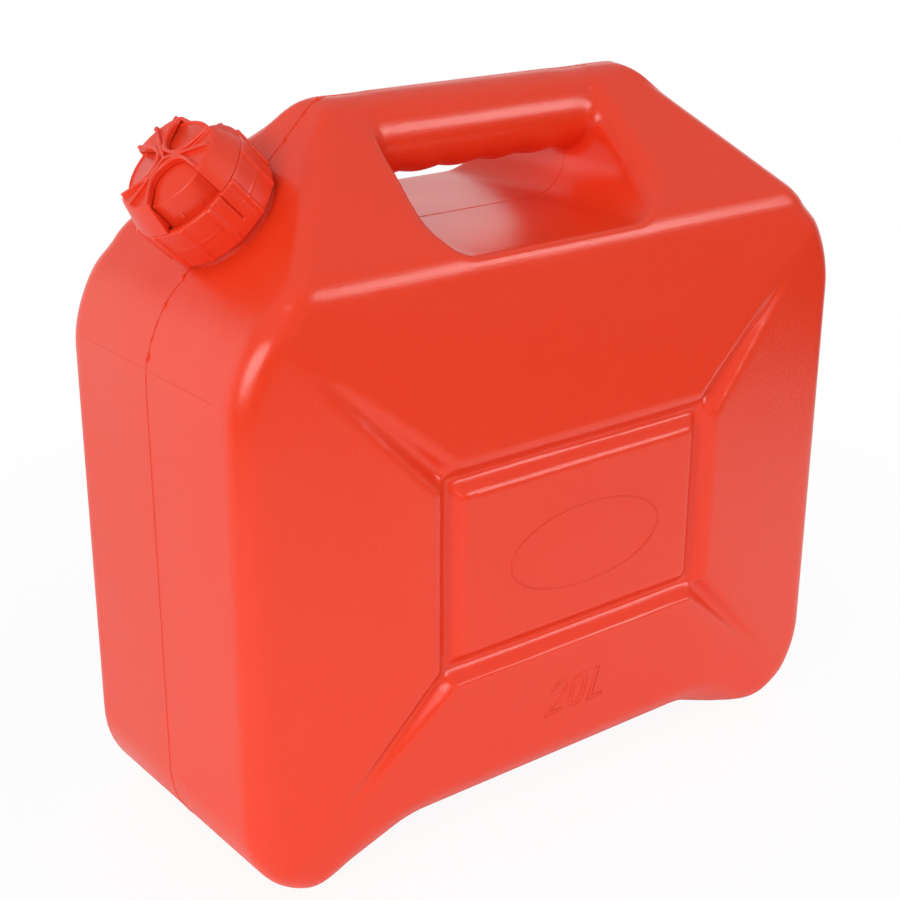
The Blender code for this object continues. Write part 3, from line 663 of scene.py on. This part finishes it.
        # The bar grows out of the opening's ends, and the floor turns up into them
        inward = np.minimum(x - left, right - x)
        near_bar = np.hypot(y, z - ridge) < size.ridge + ENDS["bar"]
        ends = fade(np.abs(inward), *FADES["opening end"]) * (z > floor - ENDS["floor"])
        ends *= (np.abs(y) < size.depth / 2 - ENDS["inset"]) & (inward > -ENDS["inset"])
        relief = fade(np.abs(y) - size.depth / 2, *FADES["relief face"])
        relief *= fade(z, *FADES["relief top"])
        beyond = np.maximum(
            np.abs(x - LEFT - size.length / 2) - size.length / 2 + size.margin,
            np.abs(z - self.border_middle) - self.border_half,
        )
        roof_end = fade(np.abs(inward), *FADES["roof end"])
        roof_end *= fade(np.abs(z - size.height + ROOF_BAND_DROP), *FADES["roof band"])
        roof_end *= fade(np.abs(y), *FADES["roof middle"])
        for name, weights in (
            ("all", np.ones(len(x))), ("relief", relief),
            ("grooves", relief * fade(beyond, *FADES["groove"])),
            ("ends", np.where(near_bar, ends, ENDS["share"] * ends)), ("roof end", roof_end),
        ):
            self.melt(skin, name, weights, TURNS[name])
        applied(skin)
        fine = BVHTree.FromObject(skin, bpy.context.evaluated_depsgraph_get())
        fine_mesh = skin.data.copy()
        # The neck is a piece of its own, so the skin opens under it
        turn = neck_frame(closure, size).inverted()
        work = bmesh.new()
        work.from_mesh(skin.data)
        radius = closure.neck - NECK_HOLE["inset"]
        gone = []
        for face in work.faces:
            local = turn @ face.calc_center_median()
            if math.hypot(local.x, local.y) < radius and abs(local.z) < NECK_HOLE["reach"]:
                gone.append(face)
        bmesh.ops.delete(work, geom=gone, context="FACES")
        work.to_mesh(skin.data)
        work.free()
        lighter(skin, SKIN_TRIANGLES / (2 * len(skin.data.polygons)))
        applied(skin)
        self.shade_as(skin.data, fine, fine_mesh)
        bpy.data.meshes.remove(fine_mesh)

    def shade_as(self, mesh, fine, fine_mesh):
        """Gives the lighter mesh the shading of the fine one that it came from."""
        found = np.array([fine.find_nearest(vert.co)[2] for vert in mesh.vertices])
        corners = values(fine_mesh.loops, "vertex_index", 1, np.int32).reshape(-1, 4)[found]
        gaps = values(fine_mesh.vertices, "co")[corners] - values(mesh.vertices, "co")[:, None]
        shares = 1 / (np.linalg.norm(gaps, axis=2) + 1e-5)
        bent = values(fine_mesh.vertices, "normal")[corners]
        mixed = (bent * shares[:, :, None]).sum(axis=1)
        mixed /= np.linalg.norm(mixed, axis=1)[:, None]
        for polygon in mesh.polygons:
            polygon.use_smooth = True
        mesh.normals_split_custom_set_from_vertices(mixed.tolist())

    def form(self, points, size):
        """Distance to the tank's form with its outer edges and the opening's rim rounded."""
        x, y, z = points.T

        def spread(flat, first, second):
            out = np.zeros((len(flat), 3))
            out[:, first], out[:, second] = flat.T
            return out

        side, out = outline_distance(x, z, self.side)
        side_out = spread(out, 0, 2)
        ends, out = outline_distance(y, z, self.ends)
        ends_out = spread(out, 1, 2)
        plan, out = outline_distance(x, y, self.plan)
        plan_out = spread(out, 0, 1)
        shell = np.maximum(ends, plan)
        shell_out = np.where((ends > plan)[:, None], ends_out, plan_out)
        # Over the arch the edges are rounded more than elsewhere
        from_end = size.length / 2 - np.abs(x - LEFT - size.length / 2)
        base = fade(z, *FADES["base"]) * fade(from_end, *FADES["arch"])
        edge = size.edge + (size.base_edge - size.edge) * eased(base)
        form, form_out = rounded_edge(side, side_out, shell, shell_out, edge)
        hole, out = outline_distance(x, z, self.hole)
        # The rim is sharp along the floor and the top, and widest on the right
        low = fade(z - (size.height - OPENING["drop"]), *FADES["rim foot"])
        middle = LEFT + size.length / 2
        over = np.clip(0.5 + (x - middle) / RIM_RUN, 0, 1)
        walls = RIM["left"] + (RIM["right"] - RIM["left"]) * over
        high = fade(z - size.height, *FADES["rim top"])
        walls += (RIM["top"] - walls) * high * (1 - RIM_TOP_SHARE * over)
        rim = RIM["floor"] + (walls - RIM["floor"]) * eased(low)
        total, total_out = rounded_edge(form, form_out, -hole, -spread(out, 0, 2), rim)
        # The grip bar stays as it is
        bar = np.hypot(y, z - size.height + size.ridge) - size.ridge
        kept = bar < np.minimum(total, BAR_SLACK)
        total[kept] = np.minimum(form[kept], 0)
        return total, total_out

    def melt(self, skin, name, weights, turns):
        """Smooths the skin where the weights are, in five strengths."""
        group = skin.vertex_groups.new(name=name)
        levels = np.round(weights * 5).astype(int)
        for level in range(1, 6):
            group.add(np.nonzero(levels == level)[0].tolist(), level / 5, "REPLACE")
        softening(skin, name, turns).vertex_group = name

    def neck(self, size, closure):
        """The blown neck with its calibrated bore and a thread of one and a half turns."""
        rim = closure.neck_height
        profile = [
            (closure.neck + 0.0010, -0.004), (closure.neck + 0.0008, 0.0006),
            (closure.neck + 0.0002, 0.0016), (closure.neck, 0.0034), (closure.neck, rim - 0.0008),
            (closure.neck - 0.0002, rim - 0.0002), (closure.neck - 0.0008, rim),
            (closure.bore + 0.0006, rim), (closure.bore, rim - 0.0006),
            (closure.bore, -size.wall - 0.0002),
        ]
        work = bmesh.new()
        turned(work, profile, 128)
        ridge = [(0.0, -0.0011), (0.0009, -0.0003), (0.0009, 0.0003), (0.0, 0.0011)]
        verts = [
            work.verts.new((closure.neck - 0.0001 + out, 0, 0.0105 + up)) for out, up in ridge
        ]
        edges = [work.edges.new(pair) for pair in zip(verts, verts[1:])]
        turns = 1.5
        steps = 150
        bmesh.ops.spin(
            work, geom=verts + edges, cent=(0, 0, 0), axis=(0, 0, 1), angle=math.tau * turns,
            steps=steps, dvec=(0, 0, closure.lead * turns / steps),
        )
        bmesh.ops.recalc_face_normals(work, faces=work.faces)
        work.transform(neck_frame(closure, size))
        return finished(
            new_object("neck_finish", work), "tank", "tank_hdpe", BLOWN,
            "tank",
        )

    def inside(self, skin, closure, size):
        """The wall's inner face: the skin drawn in by the wall's thickness, open at the neck."""
        made = skin.copy()
        made.name = "tank_inside"
        made.data = skin.data.copy()
        made.data.name = made.name
        bpy.context.scene.collection.objects.link(made)
        ways = [Vector() for _ in made.data.vertices]
        for corner, way in zip(made.data.loops, made.data.corner_normals):
            ways[corner.vertex_index] += way.vector
        for vert, way in zip(made.data.vertices, ways):
            vert.co -= way.normalized() * size.wall
        made.data.attributes.remove(made.data.attributes["custom_normal"])
        turn = neck_frame(closure, size)
        work = bmesh.new()
        work.from_mesh(made.data)
        brim = [edge for edge in work.edges if edge.is_boundary]
        for vert in next_ring(work, brim)[0]:
            local = turn.inverted() @ vert.co
            local.xy = local.xy.normalized() * closure.bore
            local.z = -size.wall
            vert.co = turn @ local
        bmesh.ops.reverse_faces(work, faces=work.faces)
        work.to_mesh(made.data)
        work.free()
        return finished(made, "tank", "tank_hdpe", BLOWN, "tank")


def turned(work, profile, steps):
    """Spins a profile of (radius, height) once round local Z and closes its poles."""
    verts = [work.verts.new((radius, 0, height)) for radius, height in profile]
    edges = [work.edges.new(pair) for pair in zip(verts, verts[1:])]
    bmesh.ops.spin(
        work, geom=verts + edges, cent=(0, 0, 0), axis=(0, 0, 1), angle=math.tau, steps=steps,
        use_merge=True,
    )
    bmesh.ops.remove_doubles(work, verts=work.verts, dist=1e-6)
    bmesh.ops.recalc_face_normals(work, faces=work.faces)


# Radii of the fine raised lines
BEADS = {"parting": 0.00034, "oval": 0.00042, "figures": 0.00036}
# The oval field: centre from the narrow side and from the ground, half length and half height
OVAL = {"along": 0.2016, "up": 0.1563, "half length": 0.0514, "half height": 0.0226}
# The figures: where they start, their height, how wide they are set and how far they lean
FIGURES = {"along": 0.1790, "up": 0.0575, "height": 0.0205, "width": 1.06, "lean": 0.17}
# The mould's joint round the narrow side: its height, half its run, and its points
JOINT = {"up": 0.2674, "half run": 0.078, "points": 80}
PARTING_POINTS = 1400
OPENING_POINTS = 280
# Flash is left where the parting line runs over shoulder and chamfer
FLASH = {"along": 0.105, "drop": 0.115, "least": 0.5, "most": 2.4}


class FUELCAN_OT_marks(Operator):
    """Make the parting line, the oval field and the capacity figures"""
    bl_idname = "fuelcan.marks"
    bl_label = "Mould marks"

    def execute(self, context):
        size = context.scene.fuelcan_tank
        closure = context.scene.fuelcan_closure
        skin = bpy.data.objects["tank_skin"]
        tree = BVHTree.FromObject(skin, bpy.context.evaluated_depsgraph_get())
        self.parting_line(size, closure, tree)
        self.oval(size, tree)
        self.figures(size, tree)
        return {"FINISHED"}

    def bead(self, name, lines, radius, cyclic=False):
        """A thin round bead along points, as a mesh."""
        curve = bpy.data.curves.new(name, "CURVE")
        curve.dimensions = "3D"
        curve.bevel_depth = radius
        curve.bevel_resolution = 2
        curve.use_fill_caps = True
        for line in lines:
            spline = curve.splines.new("POLY")
            spline.points.add(len(line) - 1)
            for point, (place, share) in zip(spline.points, line):
                point.co = (*place, 1)
                point.radius = share
            spline.use_cyclic_u = cyclic
        guide = bpy.data.objects.new(name + " guide", curve)
        bpy.context.scene.collection.objects.link(guide)
        bpy.context.view_layer.update()
        shown = guide.evaluated_get(bpy.context.evaluated_depsgraph_get())
        made = bpy.data.objects.new(name, bpy.data.meshes.new_from_object(shown))
        bpy.context.scene.collection.objects.link(made)
        bpy.data.objects.remove(guide)
        low, high = CAD_BOX
        for vert in made.data.vertices:
            vert.co = [min(max(vert.co[i], low[i]), high[i]) for i in range(3)]
        return finished(made, "tank", "tank_hdpe", BLOWN)

    def parting_line(self, size, closure, tree):
        """A hair-fine pinch line round the middle, with flash left at shoulder and chamfer."""
        turn = neck_frame(closure, size).inverted()
        centre = Vector((LEFT + size.length / 2, 0, size.height * 0.45))
        lines = [[]]
        for i in range(PARTING_POINTS + 1):
            angle = math.tau * i / PARTING_POINTS
            ray = Vector((math.cos(angle), 0, math.sin(angle)))
            hit = tree.ray_cast(centre + ray * 0.4, -ray)[0]
            if hit is None:
                continue
            local = turn @ hit
            if (hit - centre).dot(ray) < 0:
                continue
            if math.hypot(local.x, local.y) < closure.neck + 0.0008 and abs(local.z) < 0.03:
                if lines[-1]:
                    lines.append([])
                continue
            wobble = math.sin(i * 0.9) * math.sin(i * 0.37 + 1)
            flash = 0
            if hit.x < LEFT + FLASH["along"] and hit.z > size.height - FLASH["drop"]:
                ragged = max(0, math.sin(i * 0.61) * math.sin(i * 0.153 + 2))
                flash = FLASH["least"] + ragged * FLASH["most"]
            lines[-1].append((hit, 0.75 + 0.2 * wobble + flash))
        # The mould's joint round the narrow side, below the shoulder
        joint = []
        last = JOINT["points"]
        for i in range(last + 1):
            y = -JOINT["half run"] + 2 * JOINT["half run"] * i / last
            hit = tree.ray_cast(Vector((LEFT - 0.1, y, JOINT["up"])), Vector((1, 0, 0)))[0]
            joint.append((hit, 0.45 * min(1, 6 * min(i, last - i) / last)))
        lines.append(joint)
        inner = Vector((LEFT + 0.188, 0, size.height - OPENING["drop"] + 0.012))
        lines.append([])
        for i in range(OPENING_POINTS + 1):
            angle = math.tau * i / OPENING_POINTS
            ray = Vector((math.cos(angle), 0, math.sin(angle)))
            hit = tree.ray_cast(inner, ray)[0]
            lines[-1].append((hit, 0.7 + 0.2 * math.sin(i * 0.9)))
        self.bead("parting_line", [line for line in lines if len(line) > 2], BEADS["parting"])

    def on_skin(self, tree, x, z, back_side):
        side = 1 if back_side else -1
        place, normal, _, _ = tree.ray_cast(Vector((x, side * 0.3, z)), Vector((0, -side, 0)))
        return place + normal * 0.00002

    def oval(self, size, tree):
        """The oval field on each panel, edged by a fine raised line and left bare."""
        for back_side in (False, True):
            line = []
            for i in range(180):
                angle = math.tau * i / 180
                x = LEFT + OVAL["along"] + OVAL["half length"] * math.cos(angle)
                z = OVAL["up"] + OVAL["half height"] * math.sin(angle)
                line.append((self.on_skin(tree, x, z, back_side), 1))
            name = "oval_back" if back_side else "oval_front"
            self.bead(name, [line], BEADS["oval"], cyclic=True)

    def figures(self, size, tree):
        """The capacity, 20 L, in outline figures that lean as the mould's do."""
        lines = []
        for stroke in figure_outlines():
            line = []
            for a, b in stroke:
                across = a * FIGURES["width"] + FIGURES["lean"] * b
                x = LEFT + FIGURES["along"] + across * FIGURES["height"]
                z = FIGURES["up"] + b * FIGURES["height"]
                line.append((self.on_skin(tree, x, z, False), 1))
            lines.append(line)
        self.bead("capacity_figures", lines, BEADS["figures"], cyclic=True)


def arc(cx, cy, rx, ry, start, end, count):
    return [
        (cx + rx * math.cos(math.radians(start + (end - start) * i / count)),
         cy + ry * math.sin(math.radians(start + (end - start) * i / count)))
        for i in range(count + 1)
    ]


def figure_outlines():
    """Outlines of 2, 0 and L in a cell one unit high, drawn from arcs and straight runs."""
    two = (
        [(0.0, 0.0), (0.52, 0.0), (0.52, 0.11), (0.17, 0.11)]
        + [(0.44, 0.52)] + arc(0.26, 0.72, 0.26, 0.28, -28, 172, 18)
        + [(0.11, 0.74)] + arc(0.26, 0.72, 0.15, 0.17, 172, -28, 14)
        + [(0.34, 0.54), (0.0, 0.10)]
    )
    zero_out = arc(0.96, 0.74, 0.25, 0.26, 0, 180, 16) + arc(0.96, 0.26, 0.25, 0.26, 180, 360, 16)
    zero_in = arc(0.96, 0.74, 0.13, 0.15, 0, 180, 12) + arc(0.96, 0.26, 0.13, 0.15, 180, 360, 12)
    ell = [(1.42, 1.0), (1.42, 0.0), (1.88, 0.0), (1.88, 0.11), (1.54, 0.11), (1.54, 1.0)]
    return [two, zero_out, zero_in, ell]


# Turned profiles of radius and height over the chamfer, in metres
CAP_PROFILE = [
    (0, 0.0419), (0.0150, 0.0419), (0.0154, 0.0416), (0.0190, 0.0416), (0.0194, 0.0413),
    (0.0222, 0.0413), (0.0230, 0.0409), (0.0236, 0.0409), (0.0240, 0.0414),
    (0.0244, 0.0415), (0.0248, 0.0413), (0.0251, 0.0408), (0.02515, 0.0400),
    (0.0260, 0.0270), (0.0261, 0.0262), (0.0287, 0.0262), (0.0287, 0.0242),
    (0.0243, 0.0242), (0.0233, 0.0385), (0, 0.0391),
]
WASHER_PROFILE = [
    (0.0244, 0.0222), (0.0247, 0.0219), (0.0273, 0.0219), (0.0276, 0.0222),
    (0.0276, 0.0236), (0.0273, 0.0239), (0.0247, 0.0239), (0.0244, 0.0236),
    (0.0244, 0.0222),
]
# Gussets round the inner cap, in degrees from the axis that points up the chamfer
GUSSETS = (228, 252, 348, 12, 108, 132)
GUSSET_HALF_WIDTH = 0.0007
# Collar: the flare over its whole height, its ribs, its mid line and the locking tab's slit
FLARE = 0.0009
RIB = {"half width": 0.00135, "rise": 0.0012, "first": 12}
MID_LINE = 0.00022
SLIT = {"angle": 267, "half width": 0.00042, "depth": 0.0016, "foot": 0.0072}


class FUELCAN_OT_closure(Operator):
    """Make the screw collar, the inner cap and the washer"""
    bl_idname = "fuelcan.closure"
    bl_label = "Collar, cap and washer"

    def execute(self, context):
        size = context.scene.fuelcan_tank
        closure = context.scene.fuelcan_closure
        place = neck_frame(closure, size)
        self.collar(closure, place)
        self.inner_cap(closure, place)
        self.washer(closure, place)
        return {"FINISHED"}

    def collar(self, closure, place):
        """A tapered ring with rounded ribs, a mid line, and the slit of its locking tab."""
        top, low, radius = closure.collar_top, closure.collar_low, closure.collar
        middle = (top + low) / 2
        draft = FLARE / (top - low)

        def wall(height):
            return radius - draft * (top - height)

        heights = [low + 0.0006 + (top - low - 0.0014) * i / 40 for i in range(41)]
        profile = [(0.0292, low), (wall(low) - 0.0006, low), (wall(low), low + 0.0006)]
        profile += [(wall(height), height) for height in heights[1:]]
        profile += [
            (radius - 0.0003, top - 0.0002), (radius - 0.0008, top), (0.0292 + 0.0004, top),
            (0.0290, top - 0.0004), (0.0288, top - 0.0016), (0.0270, top - 0.0018),
            (0.0266, top - 0.0020), (0.0266, 0.0267), (0.0292, 0.0265), (0.0292, low),
        ]
        work = bmesh.new()
        turned(work, profile, 720)
        for vert in work.verts:
            reach = math.hypot(vert.co.x, vert.co.y)
            if reach < 0.0304:
                continue
            angle = math.degrees(math.atan2(vert.co.y, vert.co.x)) % 360
            height = vert.co.z
            pitch = 360 / closure.ribs
            nearest = (angle - RIB["first"] + pitch / 2) % pitch - pitch / 2
            off = math.radians(nearest) * reach / RIB["half width"]
            up = (height - low) / (top - low)
            rise = 0.0
            if abs(off) < 1.25 and up > 0.0:
                crown = max(0, 1 - max(0, abs(off) - 0.35) ** 2 / 0.8)
                foot = min(1, up / 0.03)
                head = min(1, (1.0 - up) / 0.04 + 0.35)
                rise = RIB["rise"] * crown * foot * head
            line = math.exp(-((height - middle) / MID_LINE) ** 2) * MID_LINE
            away = math.radians((angle - SLIT["angle"] + 180) % 360 - 180) * reach
            cut = 0.0
            if height > low + SLIT["foot"]:
                cut = math.exp(-(away / SLIT["half width"]) ** 4) * SLIT["depth"]
            fresh = reach + rise + line - cut
            vert.co.x *= fresh / reach
            vert.co.y *= fresh / reach
        work.transform(place)
        made = new_object("screw_collar_moulded", work)
        finished(made, "closure", "closure_hdpe", INJECTED, "screw_collar")

    def inner_cap(self, closure, place):
        """A plain cup over the seal, with rings pressed in its top and small gussets."""
        work = bmesh.new()
        turned(work, CAP_PROFILE, 192)
        for angle in GUSSETS:
            gusset = bmesh.ops.create_cube(work, size=1)["verts"]
            turn = Matrix.Rotation(math.radians(angle), 4, "Z")
            for vert in gusset:
                out = 0.0253 if vert.co.x < 0 else (0.0266 if vert.co.z < 0 else 0.0256)
                height = 0.0295 if vert.co.z < 0 else 0.0340
                across = math.copysign(GUSSET_HALF_WIDTH, vert.co.y)
                vert.co = turn @ Vector((out, across, height))
            bmesh.ops.recalc_face_normals(work, faces=list({f for v in gusset for f in v.link_faces}))
        work.transform(place)
        made = new_object("inner_cap_moulded", work)
        finished(made, "cap", "closure_hdpe", INJECTED, "inner_cap")
        made.data.set_sharp_from_angle(angle=math.radians(50))

    def washer(self, closure, place):
        work = bmesh.new()
        turned(work, WASHER_PROFILE, 128)
        work.transform(place)
        made = new_object("seal_washer_moulded", work)
        finished(made, "seal", "seal_rubber", MOULDED_RUBBER, "seal_washer")


GRIP_GRAIN = 0.00026
GRIP_SHARE = 0.3
# The rolled edge of a scallop: its bead, its arc, the arc's opening in degrees, and its height
EDGE = {"bead": 0.00112, "radius": 0.0117, "centre": 0.0159, "open": 110, "height": 0.0449}
EDGE_LEG = [(0.0212, 0.0145), (0.0180, 0.0133), (0.0148, 0.0121)]


class FUELCAN_OT_grip(Operator):
    """Make the three-lobed grip with its ribs"""
    bl_idname = "fuelcan.grip"
    bl_label = "Three-lobed grip"

    def execute(self, context):
        place = neck_frame(context.scene.fuelcan_closure, context.scene.fuelcan_tank)
        work = bmesh.new()
        work.from_mesh(frame["nodes"]["grip"].data)
        bmesh.ops.remove_doubles(work, verts=work.verts, dist=2e-6)
        for lobe in range(3):
            self.rolled_edge(work, place @ Matrix.Rotation(math.tau * lobe / 3, 4, "Z"))
        made = new_object("grip_moulded", work)
        even_grain(made, GRIP_GRAIN)
        softening(made, "melt", 3)
        lighter(made, GRIP_SHARE)
        applied(made)
        finished(made, "closure", "closure_hdpe", INJECTED, "grip")
        return {"FINISHED"}

    def rolled_edge(self, work, place):
        """The round bead that runs in a U along one scallop's edge."""
        radius, centre = EDGE["radius"], EDGE["centre"]
        spread = math.radians(EDGE["open"])
        path = EDGE_LEG + [
            (centre + radius * math.cos(turn), radius * math.sin(turn))
            for turn in (spread + (math.tau - 2 * spread) * i / 28 for i in range(1, 28))
        ]
        path += [(x, -y) for x, y in reversed(EDGE_LEG)]
        ring = bmesh.ops.create_circle(work, segments=10, radius=EDGE["bead"])["verts"]
        edges = list({edge for vert in ring for edge in vert.link_edges})
        rings = [ring]
        for _ in path[1:]:
            ring, edges = next_ring(work, edges)
            rings.append(ring)
        for i, (ring, (x, y)) in enumerate(zip(rings, path)):
            before, after = path[max(i - 1, 0)], path[min(i + 1, len(path) - 1)]
            heading = math.atan2(after[1] - before[1], after[0] - before[0])
            turn = Matrix.Rotation(heading, 4, "Z") @ Matrix.Rotation(math.pi / 2, 4, "Y")
            end = min(i, len(path) - 1 - i)
            height = EDGE["height"] - 0.0004 * max(0, 2 - end)
            bmesh.ops.transform(
                work, verts=ring, matrix=place @ Matrix.Translation((x, y, height)) @ turn
            )
        caps = [edge for edge in work.edges if edge.is_boundary]
        bmesh.ops.holes_fill(work, edges=caps, sides=0)
        bmesh.ops.recalc_face_normals(work, faces=work.faces)


class FUELCAN_OT_stage(Operator):
    """Make the floor, the lights and the camera"""
    bl_idname = "fuelcan.stage"
    bl_label = "Floor, lights and camera"

    def execute(self, context):
        self.floor()
        self.world()
        self.lights()
        self.camera()
        context.scene.view_settings.view_transform = "Standard"
        return {"FINISHED"}

    def floor(self):
        work = bmesh.new()
        bmesh.ops.create_circle(work, cap_ends=True, segments=96, radius=FLOOR_RADIUS)
        made = new_object("floor", work)
        white, tree, shader = new_material("matt white studio floor")
        shader.inputs["Base Color"].default_value = linear(
            bpy.context.scene.fuelcan_finish.floor_white
        )
        shader.inputs["Roughness"].default_value = 0.9
        shader.inputs["Specular IOR Level"].default_value = 0.1
        glow = add_node(tree, "ShaderNodeEmission", {"Strength": 1.0})
        path = add_node(tree, "ShaderNodeLightPath")
        # The shadow shows close to the can; the floor's edge melts into the white background
        place = add_node(tree, "ShaderNodeTexCoord").outputs["Object"]
        away = add_node(tree, "ShaderNodeVectorMath", {"operation": "LENGTH"}, i0=place)
        white_share = ranged(tree, away.outputs["Value"], *FLOOR_FADE)
        share = maths(tree, "MULTIPLY", path.outputs["Is Camera Ray"], white_share)
        mixed = add_node(
            tree, "ShaderNodeMixShader", Fac=share,
            i1=shader.outputs[0], i2=glow.outputs[0],
        )
        tree.links.new(mixed.outputs[0], tree.nodes["Material Output"].inputs["Surface"])
        made.data.materials.append(white)

    def world(self):
        """White to the camera; to the can a bright sweep behind it and a dim room elsewhere."""
        world = bpy.data.worlds.new("studio")
        bpy.context.scene.world = world
        world.use_nodes = True
        tree = world.node_tree
        tree.nodes.clear()
        place = add_node(tree, "ShaderNodeTexCoord").outputs["Generated"]
        apart = add_node(tree, "ShaderNodeSeparateXYZ", Vector=place)
        # A white sweep stands behind the can; its top edge is about 20 degrees up
        sweep = ranged(tree, apart.outputs["Z"], *SWEEP_TOP)
        behind = ranged(tree, apart.outputs["Y"], *SWEEP_BEHIND)
        up = ranged(tree, apart.outputs["Z"], *ROOM)
        total = maths(tree, "ADD", maths(tree, "MULTIPLY", sweep, behind), up)
        soft = add_node(tree, "ShaderNodeBackground", Strength=total)
        seen = add_node(tree, "ShaderNodeBackground", {"Strength": 1.0})
        seen.inputs["Color"].default_value = (1, 1, 1, 1)
        soft.inputs["Color"].default_value = (1, 1, 1, 1)
        path = add_node(tree, "ShaderNodeLightPath")
        mixed = add_node(
            tree, "ShaderNodeMixShader", Fac=path.outputs["Is Camera Ray"],
            i1=soft.outputs[0], i2=seen.outputs[0],
        )
        out = add_node(tree, "ShaderNodeOutputWorld")
        tree.links.new(mixed.outputs[0], out.inputs["Surface"])

    def lights(self):
        for name, compass, rise, away, width, height, power in LIGHTS:
            lamp = bpy.data.lights.new(name, "AREA")
            lamp.shape = "RECTANGLE"
            lamp.size = width
            lamp.size_y = height
            lamp.energy = power
            made = bpy.data.objects.new(name, lamp)
            bpy.context.scene.collection.objects.link(made)
            compass, rise = math.radians(compass), math.radians(rise)
            aim = Vector(AIM)
            way = Vector((
                math.sin(compass) * math.cos(rise), math.cos(compass) * math.cos(rise),
                math.sin(rise),
            ))
            made.location = aim + way * away
            made.rotation_euler = (-way).to_track_quat("-Z", "Y").to_euler()

    def camera(self):
        """The photograph's viewpoint, fitted to the can's straight edges."""
        yaw, pitch, roll = (math.radians(value) for value in CAMERA_TURN)
        ahead = Vector((
            math.sin(yaw) * math.cos(pitch), math.cos(yaw) * math.cos(pitch), -math.sin(pitch)
        ))
        right = Vector((math.cos(yaw), -math.sin(yaw), 0))
        down = ahead.cross(right)
        side = right * math.cos(roll) + down * math.sin(roll)
        below = down * math.cos(roll) - right * math.sin(roll)
        lens = bpy.data.cameras.new("photo view")
        lens.sensor_width = 36
        lens.lens = CAMERA_LENS
        lens.clip_end = 60
        made = bpy.data.objects.new("photo view", lens)
        bpy.context.scene.collection.objects.link(made)
        turn = Matrix((side, -below, -ahead)).transposed().to_4x4()
        spot = Vector(CAMERA_SPOT) + Vector((LEFT, 0, 0))
        made.matrix_world = Matrix.Translation(spot) @ turn
        bpy.context.scene.camera = made


# Camera: yaw, pitch and roll in degrees, focal length in millimetres, place from the narrow side
CAMERA_TURN = (37.890, 21.437, -0.267)
CAMERA_LENS = 68.5
CAMERA_SPOT = (-0.35725, -0.69432, 0.52893)
FLOOR_RADIUS = 0.8
# Start, end, first value, last value: the floor's white by distance; the sweep's strength by
# height and by how far it is behind; and the room's by height
FLOOR_FADE = (0.30, 0.75, 0.92, 1.0)
SWEEP_TOP = (0.28, 0.5, 1.0, 0.0)
SWEEP_BEHIND = (-0.1, 0.35, 0.0, 0.85)
ROOM = (-0.3, 0.9, 0.04, 0.62)
AIM = (0, 0, 0.2)
# Name, compass and height angle in degrees, distance, width, height in metres and power in watts.
# The compass runs from the back (0) over the right (90); the camera stands at about -142.
LIGHTS = [
    ("left soft box", -124, 18, 1.8, 1.2, 0.7, 16),
    ("right soft box", 142, 19, 1.9, 0.8, 0.6, 9),
]


class FUELCAN_PT_panel(Panel):
    """Lists the operators that build the can"""
    bl_idname = "FUELCAN_PT_panel"
    bl_label = "Fuel can"
    bl_space_type = "VIEW_3D"
    bl_region_type = "UI"
    bl_category = "Fuel can"

    def draw(self, context):
        for operator in OPERATORS:
            self.layout.operator(operator.bl_idname)


OPERATORS = [
    FUELCAN_OT_tank, FUELCAN_OT_marks, FUELCAN_OT_closure, FUELCAN_OT_grip, FUELCAN_OT_stage,
]
CLASSES = [TankSizes, ClosureSizes, Finish, *OPERATORS, FUELCAN_PT_panel]


def register():
    for made in CLASSES:
        bpy.utils.register_class(made)
    bpy.types.Scene.fuelcan_tank = PointerProperty(type=TankSizes)
    bpy.types.Scene.fuelcan_closure = PointerProperty(type=ClosureSizes)
    bpy.types.Scene.fuelcan_finish = PointerProperty(type=Finish)


def unregister():
    del bpy.types.Scene.fuelcan_tank
    del bpy.types.Scene.fuelcan_closure
    del bpy.types.Scene.fuelcan_finish
    for made in reversed(CLASSES):
        bpy.utils.unregister_class(made)


def main():
    register()
    for found in list(bpy.data.objects):
        if found.type in {"CAMERA", "LIGHT"}:
            bpy.data.objects.remove(found)
    finish = bpy.context.scene.fuelcan_finish
    moulded_red(BLOWN, finish.tank_red, 0.26, 1.5, 0.3, True)
    moulded_red(INJECTED, finish.cap_red, 0.33, 0.7, 0.03, False)
    rubber(MOULDED_RUBBER, finish.seal_black)
    for operator in OPERATORS:
        group, name = operator.bl_idname.split(".")
        getattr(getattr(bpy.ops, group), name)()


if __name__ == "__main__":
    main()
